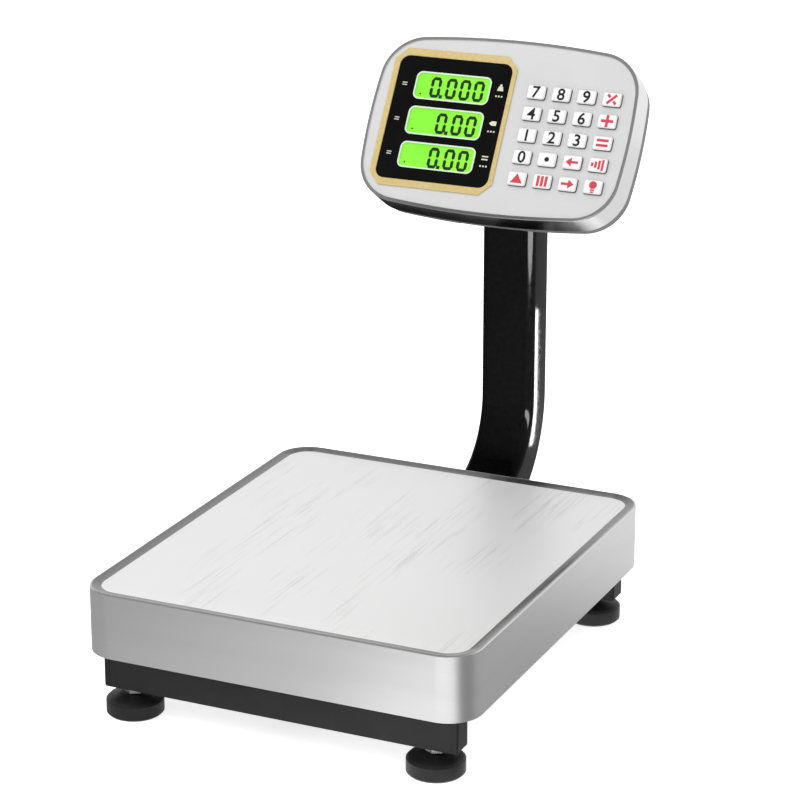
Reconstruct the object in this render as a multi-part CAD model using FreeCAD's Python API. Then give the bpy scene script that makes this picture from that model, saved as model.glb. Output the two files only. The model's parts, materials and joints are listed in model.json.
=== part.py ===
"""Retail price scale: weighing platform, folding column and tilting display head.

Millimetres, +Z up, X to the right, Y to the rear. The model is laid out about
the middle of the weighing pan and moved at the end, so that the origin lies on
the floor under the middle of the whole scale. Every piece is one STEP file.
"""
import FreeCAD, Part
import math
import os

from FreeCAD import Placement, Rotation, Vector

# ---------------------------------------------------------------- driving sizes
# Weighing pan: an inverted stainless tray with a shallow recessed plate
PAN_W = 300.0
PAN_D = 340.0
PAN_H = 49.1
PAN_WALL = 1.5
PAN_CORNER_R = 25.0
PAN_EDGE_R = 1.2
RIM_FLAT = 0.3
RIM_W = 8.3
RIM_DROP = 1.5

# Base frame: two cross beams and a centre rail, welded into an H
BEAM_CLEAR = 19.5            # floor to the underside of the beams
BEAM_SHOWS = 27.4            # beam seen below the pan
BEAM_H = 30.0
BEAM_D = 18.0
BEAM_WALL = 1.6
BEAM_INSET = 12.5            # pan edge to the beam, on all four sides
CAP_T = 6.0
CAP_R = 2.0
CAP_PLUG_L = 8.0
RAIL_W = 50.0

# Levelling feet
FOOT_R = 20.7
FOOT_RIM_H = 12.5
FOOT_H = 15.0
FOOT_INSET = 20.0            # beam end to the middle of the foot
STUD_R = 4.0
STUD_HEADROOM = 2.9            # end of the stud to the beam's top wall
FOOT_CHAMFER = 1.5
FOOT_SHOULDER = 2.0
FOOT_NECK_R = 9.0
LOCK_NUT_R = 7.5
NUT_T = 3.5

# Load cell and the platform that it carries
CELL_L = 130.0
CELL_W = 30.0
CELL_H = 22.0
CELL_PAD_H = 3.0
CELL_PAD_L = 35.0
CELL_BOLTS_IN = (9.0, 26.0)    # cell end to its two bolts
CELL_THREAD = 12.0
CELL_HOLE_R = 7.5
CELL_HOLE_Y = 13.0             # cell middle to the middle of each bending hole
CELL_SLIT = 5.0
CHANNEL_W = 70.0
CHANNEL_T = 4.0
CHANNEL_LIP = 8.0
CHANNEL_PAST = 5.0             # channel runs on past the crossbars
CROSSBAR_D = 20.0
CROSSBAR_BACK = 64.6           # pan edge to the middle of a crossbar
CROSSBAR_INSET = 25.0          # pan edge to the crossbar's end
PAD_INSET = 13.0               # crossbar's end to the middle of a pad
PAD_R = 9.0
PAD_H = 3.0
STOP_GAP = 1.0
STOP_BEYOND = 20.0             # cell end to the overload stops
STOP_INSET = 9.0               # rail side to the overload stops
STOP_THREAD = 6.0

# Column: rounded rectangular tube with a bend at the foot
TUBE_X = 44.5
TUBE_Y = 35.2
TUBE_R = 6.5
TUBE_WALL = 2.1
COLUMN_SETBACK = 98.3        # rear edge of the pan to the middle of the column
BEND_R = 75.0
BEND_TOP_Z = 130.6
TAIL_L = 7.0                 # straight end in front of the bend
TUBE_TOP_Z = 305.0

# Fold pivot and its bracket
PIVOT_AHEAD = 4.7            # pivot behind the start of the bend
PIVOT_BOLT_R = 5.0
BUSH_R = 9.0
CHEEK_T = 4.0
CHEEK_GAP = 0.8
BRACKET_T = 4.0
BRACKET_W = 90.0
BRACKET_RISE = 2.0             # beam underside to the bracket
BRACKET_UNDER_PAN = 2.5
BRACKET_PAN_GAP = 5.0          # pan to the part of the cheek that rises behind it
BRACKET_CROWN = 16.0           # pivot to the top of the cheeks
BRACKET_FORE = 13.0            # pivot to the front of the raised part
BRACKET_AFT = 22.0             # pivot to the rear edge of the cheeks
BRACKET_CUT = 8.0              # slanted corners of the cheeks
BRACKET_BOLT_R = 2.5
BRACKET_HEX_R = 4.6
BRACKET_HEX_T = 3.5
BRACKET_BOLT_IN = (9.0, 6.0)   # flange edge to its bolts, across and up
STOP_BLOCK_Y = (15.0, 19.0)    # pivot to the faces of the upright stop
STOP_BLOCK_GAP = 0.4
KNOB_R = 17.0
KNOB_T = 14.0
KNOB_GAP = 0.3
KNOB_SKIN = 3.0                # knob left over the end of its bore
KNOB_GRIPS = 6
GRIP_R = 7.0
GRIP_OUT = 3.5
PIVOT_HEX_R = 9.0
PIVOT_HEX_T = 6.5

# Head: face reference point and lean
HEAD_AHEAD = 45.3            # column middle to the face reference point
HEAD_Z = 349.1
HEAD_LEAN = 31.85            # degrees that the face leans back
TILT_Z = 323.5
HEAD_W = 214.0
HEAD_BELOW = 59.7            # face edge below the reference point
HEAD_ABOVE = 79.3
HEAD_CORNER_R = 33.0
HEAD_BOW_SIDE = 5.0
HEAD_BOW_LONG = 7.0
HEAD_WALL = 2.2
FRONT_DEPTH = 24.0
REAR_RIM = 10.0
REAR_TAPER = 12.0
BAND_T = 2.5
BAND_LIP = 0.8
BAND_EDGE_R = 1.4

# Tilt hinge
TILT_BOLT_R = 5.0
BARREL_R = 18.0
BARREL_END = 94.0
BOSS_L = 22.0
BARREL_EDGE_R = 5.0
BOSS_R = 12.0
BOSS_GAP = 0.3
CHANNEL_SIDE = 4.2           # slot in the rear shell beside the column
SLOT_UNDER = 1.6             # column knuckle to the slot's floor
SLOT_OVER = 6.0              # column knuckle to the slot's top
REAR_STEP = 1.2              # rear shell stands out past the front housing
TILT_HEAD_T = 6.0
TILT_NUT_T = 7.0
TILT_HEX_R = 9.0
KNUCKLE_PLUG_L = 35.0

# Display: measured in the plane of the face
WINDOW_X = (-93.0, 2.6)
WINDOW_V = (-40.4, 61.4)
WINDOW_T = 1.2
WINDOW_R = 8.0
WINDOW_LAP = 1.0               # window reaches under the frame
FRAME_BORDER = (4.7, 3.6, 5.6, 6.1)   # left, right, bottom, top
FRAME_T = 0.9
FRAME_CUT = 9.5
LCD_X = (-76.7, -12.9)
LCD_V = ((26.6, 49.5), (-2.5, 20.7), (-30.0, -8.5))
LCD_R = 5.0
LCD_LAP = 2.0
LCD_T = 3.0

# Back of the head: customer's display, power rocker and charging socket
REAR_WINDOW_X = 72.0
REAR_WINDOW_OVER = (5.0, 33.0)        # slot top to the rear window's lower and upper edge
REAR_WINDOW_T = 1.4
REAR_WINDOW_R = 4.0
REAR_WINDOW_LAP = 3.0
REAR_LCD_W = 40.0
REAR_LCD_PITCH = 46.0
REAR_LCD_BORDER = 6.0
REAR_LCD_R = 2.5
REAR_LCD_LAP = 1.5
CONTROL_V = -33.0
ROCKER_X = 72.0
ROCKER_W = 18.0
ROCKER_L = 12.4
ROCKER_GAP = 0.5
ROCKER_PROUD = 2.6
ROCKER_DISH = 1.0
ROCKER_IN = 4.0
ROCKER_PIVOT_IN = 2.0
ROCKER_PIN_R = 1.0
ROCKER_TILT = 8.0
JACK_X = -72.0
JACK_NOSE_R = 4.5
JACK_PROUD = 0.6
JACK_BODY = (11.0, 10.0, 11.0)        # width, height, depth
JACK_BORE_R = 2.75
JACK_BORE_L = 9.0

# Keypad: four columns and five rows
KEY_COLUMNS = 4
KEY_ROWS = 5
KEY_PITCH_X = 20.71
KEY_PITCH_V = 17.62
KEY_X0 = 18.5
KEY_V0 = 35.24
KEY_W = 14.9
KEY_H = 10.9
KEY_R = 1.6
KEY_PROUD = 2.4
KEY_BEVEL = 0.9
KEY_TRAVEL = 1.2
KEY_CLEAR = 0.3
KEY_LIP = 1.0
KEY_LIP_T = 0.7
KEY_BACKLASH = 0.2
DOME_R = 4.0
DOME_BASE = 0.5

# Small parts
RUNNING = 0.05               # radial play of a running fit
HOUSING_SCREW_R = 1.6
SCREW_HEAD_R = 3.5
POST_R = 4.0
M6_R = 3.0
M6_HEAD_R = 5.5
M6_HEAD_T = 4.0
STOP_NUT_T = 5.0
HOUSING_SCREW_L = 12.0
SCREW_HEAD_T = 2.2
SCREW_WALL = 2.5
SCREW_SEAT = 1.5
SCREW_INSET = 6.0
BOARD_T = 1.6
BOARD_RIGHT = 15.0           # housing edge to the board
BATTERY = (66.0, 36.0, 18.5)
BATTERY_AT = (45.0, -26.0)
BATTERY_GAP = 2.3
BATTERY_R = 3.0
MAT_T = 0.7
MAT_LAP = 1.2

# ------------------------------------------------------------- worked out sizes
PAN_BOTTOM = BEAM_CLEAR + BEAM_SHOWS
PAN_TOP = PAN_BOTTOM + PAN_H
PAN_UNDER = PAN_TOP - RIM_DROP - PAN_WALL
BEAM_TOP = BEAM_CLEAR + BEAM_H
BEAM_HALF = PAN_W / 2 - BEAM_INSET
BEAM_OUT = PAN_D / 2 - BEAM_INSET
BEAM_MID = BEAM_OUT - BEAM_D / 2
FOOT_X = BEAM_HALF - FOOT_INSET
STUD_L = BEAM_TOP - BEAM_WALL - STUD_HEADROOM - FOOT_H
CELL_Z = BEAM_TOP + CELL_PAD_H
CHANNEL_Z = CELL_Z + CELL_H + CELL_PAD_H
CROSSBAR_Z = CHANNEL_Z + CHANNEL_T
CROSSBAR_Y = PAN_D / 2 - CROSSBAR_BACK
CROSSBAR_HALF = PAN_W / 2 - CROSSBAR_INSET
PAD_X = CROSSBAR_HALF - PAD_INSET
COLUMN_Y = PAN_D / 2 + COLUMN_SETBACK
BEND_Y = COLUMN_Y - BEND_R
TAIL_Z = BEND_TOP_Z - BEND_R
PIVOT_Y = BEND_Y + PIVOT_AHEAD
CHEEK_IN = TUBE_X / 2 + CHEEK_GAP
CHEEK_OUT = CHEEK_IN + CHEEK_T
FACE_Y = COLUMN_Y - HEAD_AHEAD
LEAN = math.radians(HEAD_LEAN)
TILT_V = HEAD_AHEAD * math.sin(LEAN) + (TILT_Z - HEAD_Z) * math.cos(LEAN)
TILT_N = (TILT_Z - HEAD_Z) * math.sin(LEAN) - HEAD_AHEAD * math.cos(LEAN)
REAR_N = -FRONT_DEPTH - REAR_RIM - REAR_TAPER
KNUCKLE_R = TUBE_Y / 2
SLOT_HALF = TUBE_X / 2 + CHANNEL_SIDE
SLOT_FLOOR_N = TILT_N + KNUCKLE_R + SLOT_UNDER
SLOT_TOP_V = TILT_V + KNUCKLE_R + SLOT_OVER
REAR_WINDOW_V = tuple(SLOT_TOP_V + over for over in REAR_WINDOW_OVER)
BOSS_END = SLOT_HALF + BOSS_L
X_AXIS = Vector(1, 0, 0)
Y_AXIS = Vector(0, 1, 0)
Z_AXIS = Vector(0, 0, 1)
EPS = 0.5                    # how far a cutting tool runs past the face it cuts

# Corner screws of the head: two on each side, two above and two below
SCREW_SPOTS = [(side * x, v) for side in (-1, 1)
               for x, v in ((HEAD_W / 2 - SCREW_INSET, 38.0), (HEAD_W / 2 - SCREW_INSET, -20.0),
                            (40.0, HEAD_ABOVE - 9.3), (40.0, 8.7 - HEAD_BELOW))]

nodes = {}


# ---------------------------------------------------------------------- helpers
def block(x, y, z):
    """A box from three (low, high) pairs."""
    return Part.makeBox(x[1] - x[0], y[1] - y[0], z[1] - z[0], Vector(x[0], y[0], z[0]))


def rod(x, y, z, radius, length, axis=Z_AXIS):
    """A cylinder that starts at a point and runs along an axis."""
    return Part.makeCylinder(radius, length, Vector(x, y, z), axis)


def hexagon(x, y, z, radius, length, axis=Z_AXIS):
    """A hexagonal nut or bolt head; the radius is to its corners."""
    turns = [math.radians(60 * i + 30) for i in range(6)]
    points = [Vector(radius * math.cos(a), radius * math.sin(a), 0) for a in turns]
    face = Part.Face(Part.makePolygon(points + points[:1]))
    solid = face.extrude(Vector(0, 0, length))
    solid.Placement = Placement(Vector(x, y, z), Rotation(Z_AXIS, axis))
    return solid


def rounded_wire(x, y, z, radius):
    """A rounded rectangle in a level plane, as a closed wire."""
    (x0, x1), (y0, y1) = x, y
    centres = ((x1 - radius, y1 - radius, 0), (x0 + radius, y1 - radius, 90),
               (x0 + radius, y0 + radius, 180), (x1 - radius, y0 + radius, 270))
    arcs = [Part.makeCircle(radius, Vector(cx, cy, z), Z_AXIS, start, start + 90)
            for cx, cy, start in centres]
    edges = []
    for i, arc in enumerate(arcs):
        following = arcs[(i + 1) % 4]
        edges += [arc, Part.makeLine(arc.Vertexes[-1].Point, following.Vertexes[0].Point)]
    return Part.Wire(edges)


def rounded_block(x, y, z, radius):
    """A box with its four upright edges rounded."""
    return Part.Face(rounded_wire(x, y, z[0], radius)).extrude(Vector(0, 0, z[1] - z[0]))


def bowed_wire(inset, n):
    """The head's outline, shrunk by inset: a rounded rectangle with bowed sides."""
    half = HEAD_W / 2 - inset
    low, high = inset - HEAD_BELOW, HEAD_ABOVE - inset
    x, mid = half - HEAD_BOW_SIDE, (low + high) / 2
    v0, v1 = low + HEAD_BOW_LONG, high - HEAD_BOW_LONG
    ring = [Vector(-x, v0, n), Vector(0, low, n), Vector(x, v0, n), Vector(half, mid, n),
            Vector(x, v1, n), Vector(0, high, n), Vector(-x, v1, n), Vector(-half, mid, n)]
    arcs = [Part.Arc(ring[i], ring[i + 1], ring[(i + 2) % 8]).toShape() for i in (0, 2, 4, 6)]
    prism = Part.Face(Part.Wire(arcs)).extrude(Vector(0, 0, 1))
    upright = [e for e in prism.Edges if abs(e.BoundBox.ZLength - 1) < 1e-6 and len(e.Vertexes) == 2
               and e.Curve.TypeId == "Part::GeomLine"]
    prism = prism.makeFillet(HEAD_CORNER_R - inset, upright)
    bottom = min(prism.Faces, key=lambda f: f.BoundBox.ZMax)
    return bottom.OuterWire


def bowed_block(inset, n):
    """The head's outline, shrunk by inset and drawn from n[0] to n[1]."""
    return Part.Face(bowed_wire(inset, n[0])).extrude(Vector(0, 0, n[1] - n[0]))


def bowed_taper(inset0, n0, inset1, n1):
    """A solid between two of the head's outlines."""
    return Part.makeLoft([bowed_wire(inset0, n0), bowed_wire(inset1, n1)], True, True)


def edges_at(shape, test):
    """The edges whose box passes the test."""
    return [e for e in shape.Edges if test(e.BoundBox)]


def turned(solid, point, axis, degrees):
    """A copy of a solid, turned about an axis through a point."""
    copy = solid.copy()
    copy.rotate(point, axis, degrees)
    return copy


def keep(name, *solids):
    """Store a node made of one or more separate solids."""
    nodes[name] = solids[0] if len(solids) == 1 else Part.makeCompound(list(solids))


def keep_on_head(name, *solids):
    """Store a node that was drawn in the plane of the face."""
    place = Placement(Vector(0, FACE_Y, HEAD_Z), Rotation(X_AXIS, 90 - HEAD_LEAN))
    placed = []
    for solid in solids:
        copy = solid.copy()
        copy.Placement = place.multiply(copy.Placement)
        placed.append(copy)
    keep(name, *placed)


# ------------------------------------------------------------------ base frame
def hollow_beam(x, y, z):
    """A rectangular tube along its longest side, open at both ends."""
    along_x = x[1] - x[0] > y[1] - y[0]
    grow = (EPS, -BEAM_WALL) if along_x else (-BEAM_WALL, EPS)
    core = block((x[0] - grow[0], x[1] + grow[0]), (y[0] - grow[1], y[1] + grow[1]),
                 (z[0] + BEAM_WALL, z[1] - BEAM_WALL))
    return block(x, y, z).cut(core)


def base_frame():
    """Front and rear beams, the centre rail between them and their end caps."""
    z = (BEAM_CLEAR, BEAM_TOP)
    end = BEAM_HALF - CAP_T
    caps = []
    for name, side in (("front_beam", -1), ("rear_beam", 1)):
        y = sorted((side * BEAM_OUT, side * (BEAM_OUT - BEAM_D)))
        beam = hollow_beam((-end, end), y, z)
        for foot_x in (-FOOT_X, FOOT_X):
            beam = beam.cut(rod(foot_x, side * BEAM_MID, BEAM_CLEAR - EPS, STUD_R + EPS, BEAM_WALL + 2 * EPS))
        keep(name, beam)
        for hand in (-1, 1):
            cap = block(sorted((hand * end, hand * BEAM_HALF)), y, z)
            rim = edges_at(cap, lambda b, h=hand: b.XLength < 1e-6 and abs(b.XMin - h * BEAM_HALF) < 1e-6)
            cap = cap.makeFillet(CAP_R, rim)
            plug = block(sorted((hand * (end - CAP_PLUG_L), hand * end)),
                         (y[0] + BEAM_WALL, y[1] - BEAM_WALL), (z[0] + BEAM_WALL, z[1] - BEAM_WALL))
            caps.append(cap.fuse(plug))
    keep("beam_end_caps", *caps)
    inner = BEAM_OUT - BEAM_D
    rail = hollow_beam((-RAIL_W / 2, RAIL_W / 2), (-inner, inner), z)
    pad_y = (-CELL_L / 2, -CELL_L / 2 + CELL_PAD_L)
    rail = rail.fuse(block((-CELL_W / 2, CELL_W / 2), pad_y, (BEAM_TOP, CELL_Z)))
    for y in cell_bolt_rows():
        rail = rail.cut(rod(0, -y, BEAM_TOP - BEAM_WALL - EPS, M6_R, CELL_PAD_H + BEAM_WALL + 2 * EPS))
        rail = rail.cut(rod(0, -y, BEAM_CLEAR - EPS, M6_HEAD_R + EPS, BEAM_WALL + 2 * EPS))
    for x, y in stop_spots():
        rail = rail.cut(rod(x, y, BEAM_TOP - BEAM_WALL - EPS, M6_R, BEAM_WALL + 2 * EPS))
    keep("centre_rail", rail)


def cell_bolt_rows():
    """Distances from the cell's middle to its two bolt rows at each end."""
    return [CELL_L / 2 - inset for inset in CELL_BOLTS_IN]


def stop_spots():
    """Places of the four overload stops on the centre rail."""
    y = CELL_L / 2 + STOP_BEYOND
    return [(x * (RAIL_W / 2 - STOP_INSET), side * y) for x in (-1, 1) for side in (-1, 1)]


def load_cell():
    """The bending-beam load cell, its bolts and the overload stops."""
    cell = block((-CELL_W / 2, CELL_W / 2), (-CELL_L / 2, CELL_L / 2), (CELL_Z, CELL_Z + CELL_H))
    mid = CELL_Z + CELL_H / 2
    reach = CELL_W + 2 * EPS
    for y in (-CELL_HOLE_Y, CELL_HOLE_Y):
        cell = cell.cut(rod(-reach / 2, y, mid, CELL_HOLE_R, reach, X_AXIS))
    cell = cell.cut(block((-reach / 2, reach / 2), (-CELL_HOLE_Y, CELL_HOLE_Y),
                          (mid - CELL_SLIT / 2, mid + CELL_SLIT / 2)))
    bolts = []
    for y in cell_bolt_rows():
        low = rod(0, -y, BEAM_TOP - BEAM_WALL, M6_R, BEAM_WALL + CELL_PAD_H + CELL_THREAD)
        bolts.append(low.fuse(hexagon(0, -y, BEAM_TOP - BEAM_WALL - M6_HEAD_T, M6_HEAD_R, M6_HEAD_T)))
        high = rod(0, y, CELL_Z + CELL_H - CELL_THREAD, M6_R, CROSSBAR_Z - CELL_Z - CELL_H + CELL_THREAD)
        bolts.append(high.fuse(hexagon(0, y, CROSSBAR_Z, M6_HEAD_R, M6_HEAD_T)))
        cell = cell.cut(rod(0, -y, CELL_Z - EPS, M6_R, CELL_THREAD + EPS))
        cell = cell.cut(rod(0, y, CELL_Z + CELL_H - CELL_THREAD, M6_R, CELL_THREAD + EPS))
    keep("load_cell", cell)
    keep("cell_bolts", *bolts)
    stops = []
    for x, y in stop_spots():
        screw = rod(x, y, BEAM_TOP - STOP_THREAD, M6_R, CHANNEL_Z - STOP_GAP - BEAM_TOP + STOP_THREAD)
        stops.append(screw.fuse(hexagon(x, y, BEAM_TOP, M6_HEAD_R, STOP_NUT_T)))
    keep("overload_stops", *stops)


def platform():
    """What the load cell carries: a channel, two crossbars and the pan's rubber pads."""
    half = CROSSBAR_Y + CROSSBAR_D / 2 + CHANNEL_PAST
    side = CHANNEL_W / 2
    plate = block((-side, side), (-half, half), (CHANNEL_Z, CROSSBAR_Z))
    for x in ((-side, CHANNEL_T - side), (side - CHANNEL_T, side)):
        plate = plate.fuse(block(x, (-half, half), (CHANNEL_Z - CHANNEL_LIP, CHANNEL_Z)))
    pad_y = (CELL_L / 2 - CELL_PAD_L, CELL_L / 2)
    plate = plate.fuse(block((-CELL_W / 2, CELL_W / 2), pad_y, (CELL_Z + CELL_H, CHANNEL_Z)))
    for y in cell_bolt_rows():
        plate = plate.cut(rod(0, y, CELL_Z + CELL_H - EPS, M6_R, CELL_PAD_H + CHANNEL_T + 2 * EPS))
    keep("platform_channel", plate.removeSplitter())
    top = PAN_UNDER - PAD_H
    pads = []
    for name, y in (("platform_crossbar_front", -CROSSBAR_Y), ("platform_crossbar_rear", CROSSBAR_Y)):
        keep(name, hollow_beam((-CROSSBAR_HALF, CROSSBAR_HALF), (y - CROSSBAR_D / 2, y + CROSSBAR_D / 2),
                               (CROSSBAR_Z, top)))
        pads += [rod(x, y, top, PAD_R, PAD_H) for x in (-PAD_X, PAD_X)]
    keep("platform_pads", *pads)


def feet():
    """Four levelling feet, each a pad on a threaded stud, and their lock nuts."""
    profile = [Vector(0, 0, 0), Vector(FOOT_R - FOOT_CHAMFER, 0, 0), Vector(FOOT_R, 0, FOOT_CHAMFER),
               Vector(FOOT_R, 0, FOOT_RIM_H - FOOT_SHOULDER), Vector(FOOT_R - FOOT_SHOULDER, 0, FOOT_RIM_H),
               Vector(FOOT_NECK_R, 0, FOOT_H), Vector(0, 0, FOOT_H)]
    pad = Part.Face(Part.makePolygon(profile + profile[:1])).revolve(Vector(0, 0, 0), Z_AXIS, 360)
    foot = pad.fuse(rod(0, 0, FOOT_H - EPS, STUD_R, STUD_L + EPS))
    nuts = []
    for fore, side in (("front", -1), ("rear", 1)):
        for hand, x in (("left", -FOOT_X), ("right", FOOT_X)):
            copy = foot.copy()
            copy.translate(Vector(x, side * BEAM_MID, 0))
            keep("foot_%s_%s" % (fore, hand), copy)
            nut = hexagon(x, side * BEAM_MID, BEAM_CLEAR - NUT_T, LOCK_NUT_R, NUT_T)
            nuts.append(nut.cut(rod(x, side * BEAM_MID, 0, STUD_R + RUNNING, 2 * BEAM_CLEAR)))
    keep("foot_lock_nuts", *nuts)


def weighing_pan():
    """The loose stainless tray: skirt, raised rim and recessed plate."""
    x, y = (-PAN_W / 2, PAN_W / 2), (-PAN_D / 2, PAN_D / 2)
    pan = rounded_block(x, y, (PAN_BOTTOM, PAN_TOP), PAN_CORNER_R)
    rim = edges_at(pan, lambda b: b.ZLength < 1e-6 and abs(b.ZMax - PAN_TOP) < 1e-6)
    pan = pan.makeFillet(PAN_EDGE_R, rim)

    def outline(inset, z):
        return rounded_wire((x[0] + inset, x[1] - inset), (y[0] + inset, y[1] - inset), z, PAN_CORNER_R - inset)

    start = PAN_EDGE_R + RIM_FLAT
    recess = Part.makeLoft([outline(start, PAN_TOP), outline(RIM_W, PAN_TOP - RIM_DROP)], True, True)
    lid = Part.Face(outline(start, PAN_TOP)).extrude(Vector(0, 0, EPS))
    cavity = Part.Face(outline(PAN_WALL, PAN_BOTTOM - EPS)).extrude(Vector(0, 0, PAN_UNDER - PAN_BOTTOM + EPS))
    keep("weighing_pan", pan.cut(recess).cut(lid).cut(cavity))


# ---------------------------------------------------------------------- column
def tube_solid(shrink, top_z, overrun):
    """The column's bent bar, smaller all round by shrink."""
    x = (shrink - TUBE_X / 2, TUBE_X / 2 - shrink)
    y = (COLUMN_Y - TUBE_Y / 2 + shrink, COLUMN_Y + TUBE_Y / 2 - shrink)
    section = rounded_wire(x, y, BEND_TOP_Z, TUBE_R - shrink)
    upright = Part.Face(section).extrude(Vector(0, 0, top_z - BEND_TOP_Z))
    hub = Vector(0, BEND_Y, BEND_TOP_Z)
    bend = Part.Face(section).revolve(hub, X_AXIS, -90)
    end = turned(Part.Face(section), hub, X_AXIS, -90)
    tail = end.extrude(Vector(0, -TAIL_L - overrun, 0))
    return upright.fuse(bend).fuse(tail).removeSplitter()


def column():
    """The tube, with the bush of its fold pivot welded in, and the tilt hinge's knuckle."""
    tube = tube_solid(0, TUBE_TOP_Z, 0).cut(tube_solid(TUBE_WALL, TUBE_TOP_Z + EPS, EPS))
    reach = TUBE_X + 2 * EPS
    tube = tube.fuse(rod(-TUBE_X / 2, PIVOT_Y, TAIL_Z, BUSH_R, TUBE_X, X_AXIS))
    keep("column_tube", tube.cut(rod(-reach / 2, PIVOT_Y, TAIL_Z, PIVOT_BOLT_R + RUNNING, reach, X_AXIS)))
    x, y = (-TUBE_X / 2, TUBE_X / 2), (COLUMN_Y - TUBE_Y / 2, COLUMN_Y + TUBE_Y / 2)
    inner_x = (x[0] + TUBE_WALL, x[1] - TUBE_WALL)
    inner_y = (y[0] + TUBE_WALL, y[1] - TUBE_WALL)
    plug_z = (TUBE_TOP_Z - KNUCKLE_PLUG_L, TUBE_TOP_Z)
    knuckle = rounded_block(inner_x, inner_y, plug_z, TUBE_R - TUBE_WALL)
    knuckle = knuckle.fuse(block(x, y, (TUBE_TOP_Z, TILT_Z)))
    knuckle = knuckle.fuse(rod(x[0], COLUMN_Y, TILT_Z, KNUCKLE_R, TUBE_X, X_AXIS))
    keep("tilt_knuckle", knuckle.cut(rod(-reach / 2, COLUMN_Y, TILT_Z, TILT_BOLT_R + RUNNING, reach, X_AXIS)))


def fold_bracket():
    """The bracket on the rear beam, its bolts, the pivot bolt and the clamp knob."""
    front = BEAM_OUT
    low, high = BEAM_CLEAR + BRACKET_RISE, PAN_BOTTOM - BRACKET_UNDER_PAN
    crown, cut = TAIL_Z + BRACKET_CROWN, BRACKET_CUT
    fore, aft = PIVOT_Y - BRACKET_FORE, PIVOT_Y + BRACKET_AFT
    outline = [(front, low), (front, high), (PAN_D / 2 + BRACKET_PAN_GAP, high), (fore, crown - cut / 2),
               (fore + cut, crown), (aft - cut, crown), (aft, crown - cut), (aft, low + cut), (aft - cut, low)]
    points = [Vector(-CHEEK_OUT, y, z) for y, z in outline]
    cheek = Part.Face(Part.makePolygon(points + points[:1])).extrude(Vector(CHEEK_T, 0, 0))
    other = cheek.copy()
    other.translate(Vector(CHEEK_IN + CHEEK_OUT, 0, 0))
    half = BRACKET_W / 2
    flange = block((-half, half), (front, front + BRACKET_T), (low, high))
    near, far = STOP_BLOCK_Y
    web = block((-CHEEK_OUT, CHEEK_OUT), (front, PIVOT_Y + far), (low, low + BRACKET_T))
    underside = BEND_TOP_Z - math.sqrt((BEND_R + TUBE_Y / 2) ** 2 - (PIVOT_AHEAD + near) ** 2)
    stop = block((-CHEEK_IN, CHEEK_IN), (PIVOT_Y + near, PIVOT_Y + far),
                 (low + BRACKET_T, underside - STOP_BLOCK_GAP))
    bracket = cheek.fuse(other).fuse(flange).fuse(web).fuse(stop)
    bracket = bracket.cut(rod(-CHEEK_OUT - EPS, PIVOT_Y, TAIL_Z, PIVOT_BOLT_R, 2 * CHEEK_OUT + 2 * EPS, X_AXIS))
    bolts = []
    rear = nodes["rear_beam"]
    in_x, in_z = BRACKET_BOLT_IN
    for x in (in_x - half, half - in_x):
        for z in (low + in_z, high - in_z):
            hole = rod(x, front - BEAM_WALL - EPS, z, BRACKET_BOLT_R, BEAM_WALL + BRACKET_T + 2 * EPS, Y_AXIS)
            bracket, rear = bracket.cut(hole), rear.cut(hole)
            shank = rod(x, front - 2 * BRACKET_T, z, BRACKET_BOLT_R, 3 * BRACKET_T, Y_AXIS)
            bolts.append(shank.fuse(hexagon(x, front + BRACKET_T, z, BRACKET_HEX_R, BRACKET_HEX_T, Y_AXIS)))
    keep("rear_beam", rear)
    keep("fold_bracket", bracket.removeSplitter())
    keep("bracket_bolts", *bolts)
    knob_x = CHEEK_OUT + KNOB_GAP
    bore_l = KNOB_T - KNOB_SKIN
    bolt = rod(-CHEEK_OUT, PIVOT_Y, TAIL_Z, PIVOT_BOLT_R, 2 * CHEEK_OUT + bore_l, X_AXIS)
    head = hexagon(-CHEEK_OUT - PIVOT_HEX_T, PIVOT_Y, TAIL_Z, PIVOT_HEX_R, PIVOT_HEX_T, X_AXIS)
    keep("pivot_bolt", bolt.fuse(head))
    knob = rod(knob_x, PIVOT_Y, TAIL_Z, KNOB_R, KNOB_T, X_AXIS)
    for i in range(KNOB_GRIPS):
        turn = 2 * math.pi * i / KNOB_GRIPS
        out = KNOB_R + GRIP_OUT
        knob = knob.cut(rod(knob_x - EPS, PIVOT_Y + out * math.cos(turn), TAIL_Z + out * math.sin(turn),
                            GRIP_R, KNOB_T + 2 * EPS, X_AXIS))
    bore = rod(knob_x - EPS, PIVOT_Y, TAIL_Z, PIVOT_BOLT_R + RUNNING, bore_l + EPS, X_AXIS)
    keep("clamp_knob", knob.cut(bore))


# ------------------------------------------------------------------------ head
def key_corner(column, row):
    """The lower left corner of a key, in the plane of the face."""
    return KEY_X0 + KEY_PITCH_X * column, KEY_V0 - KEY_PITCH_V * row


def window_ring(grow, n):
    """A block of the display window's outline, larger all round by grow."""
    return rounded_block((WINDOW_X[0] - grow, WINDOW_X[1] + grow), (WINDOW_V[0] - grow, WINDOW_V[1] + grow),
                         n, WINDOW_R + grow)


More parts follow.
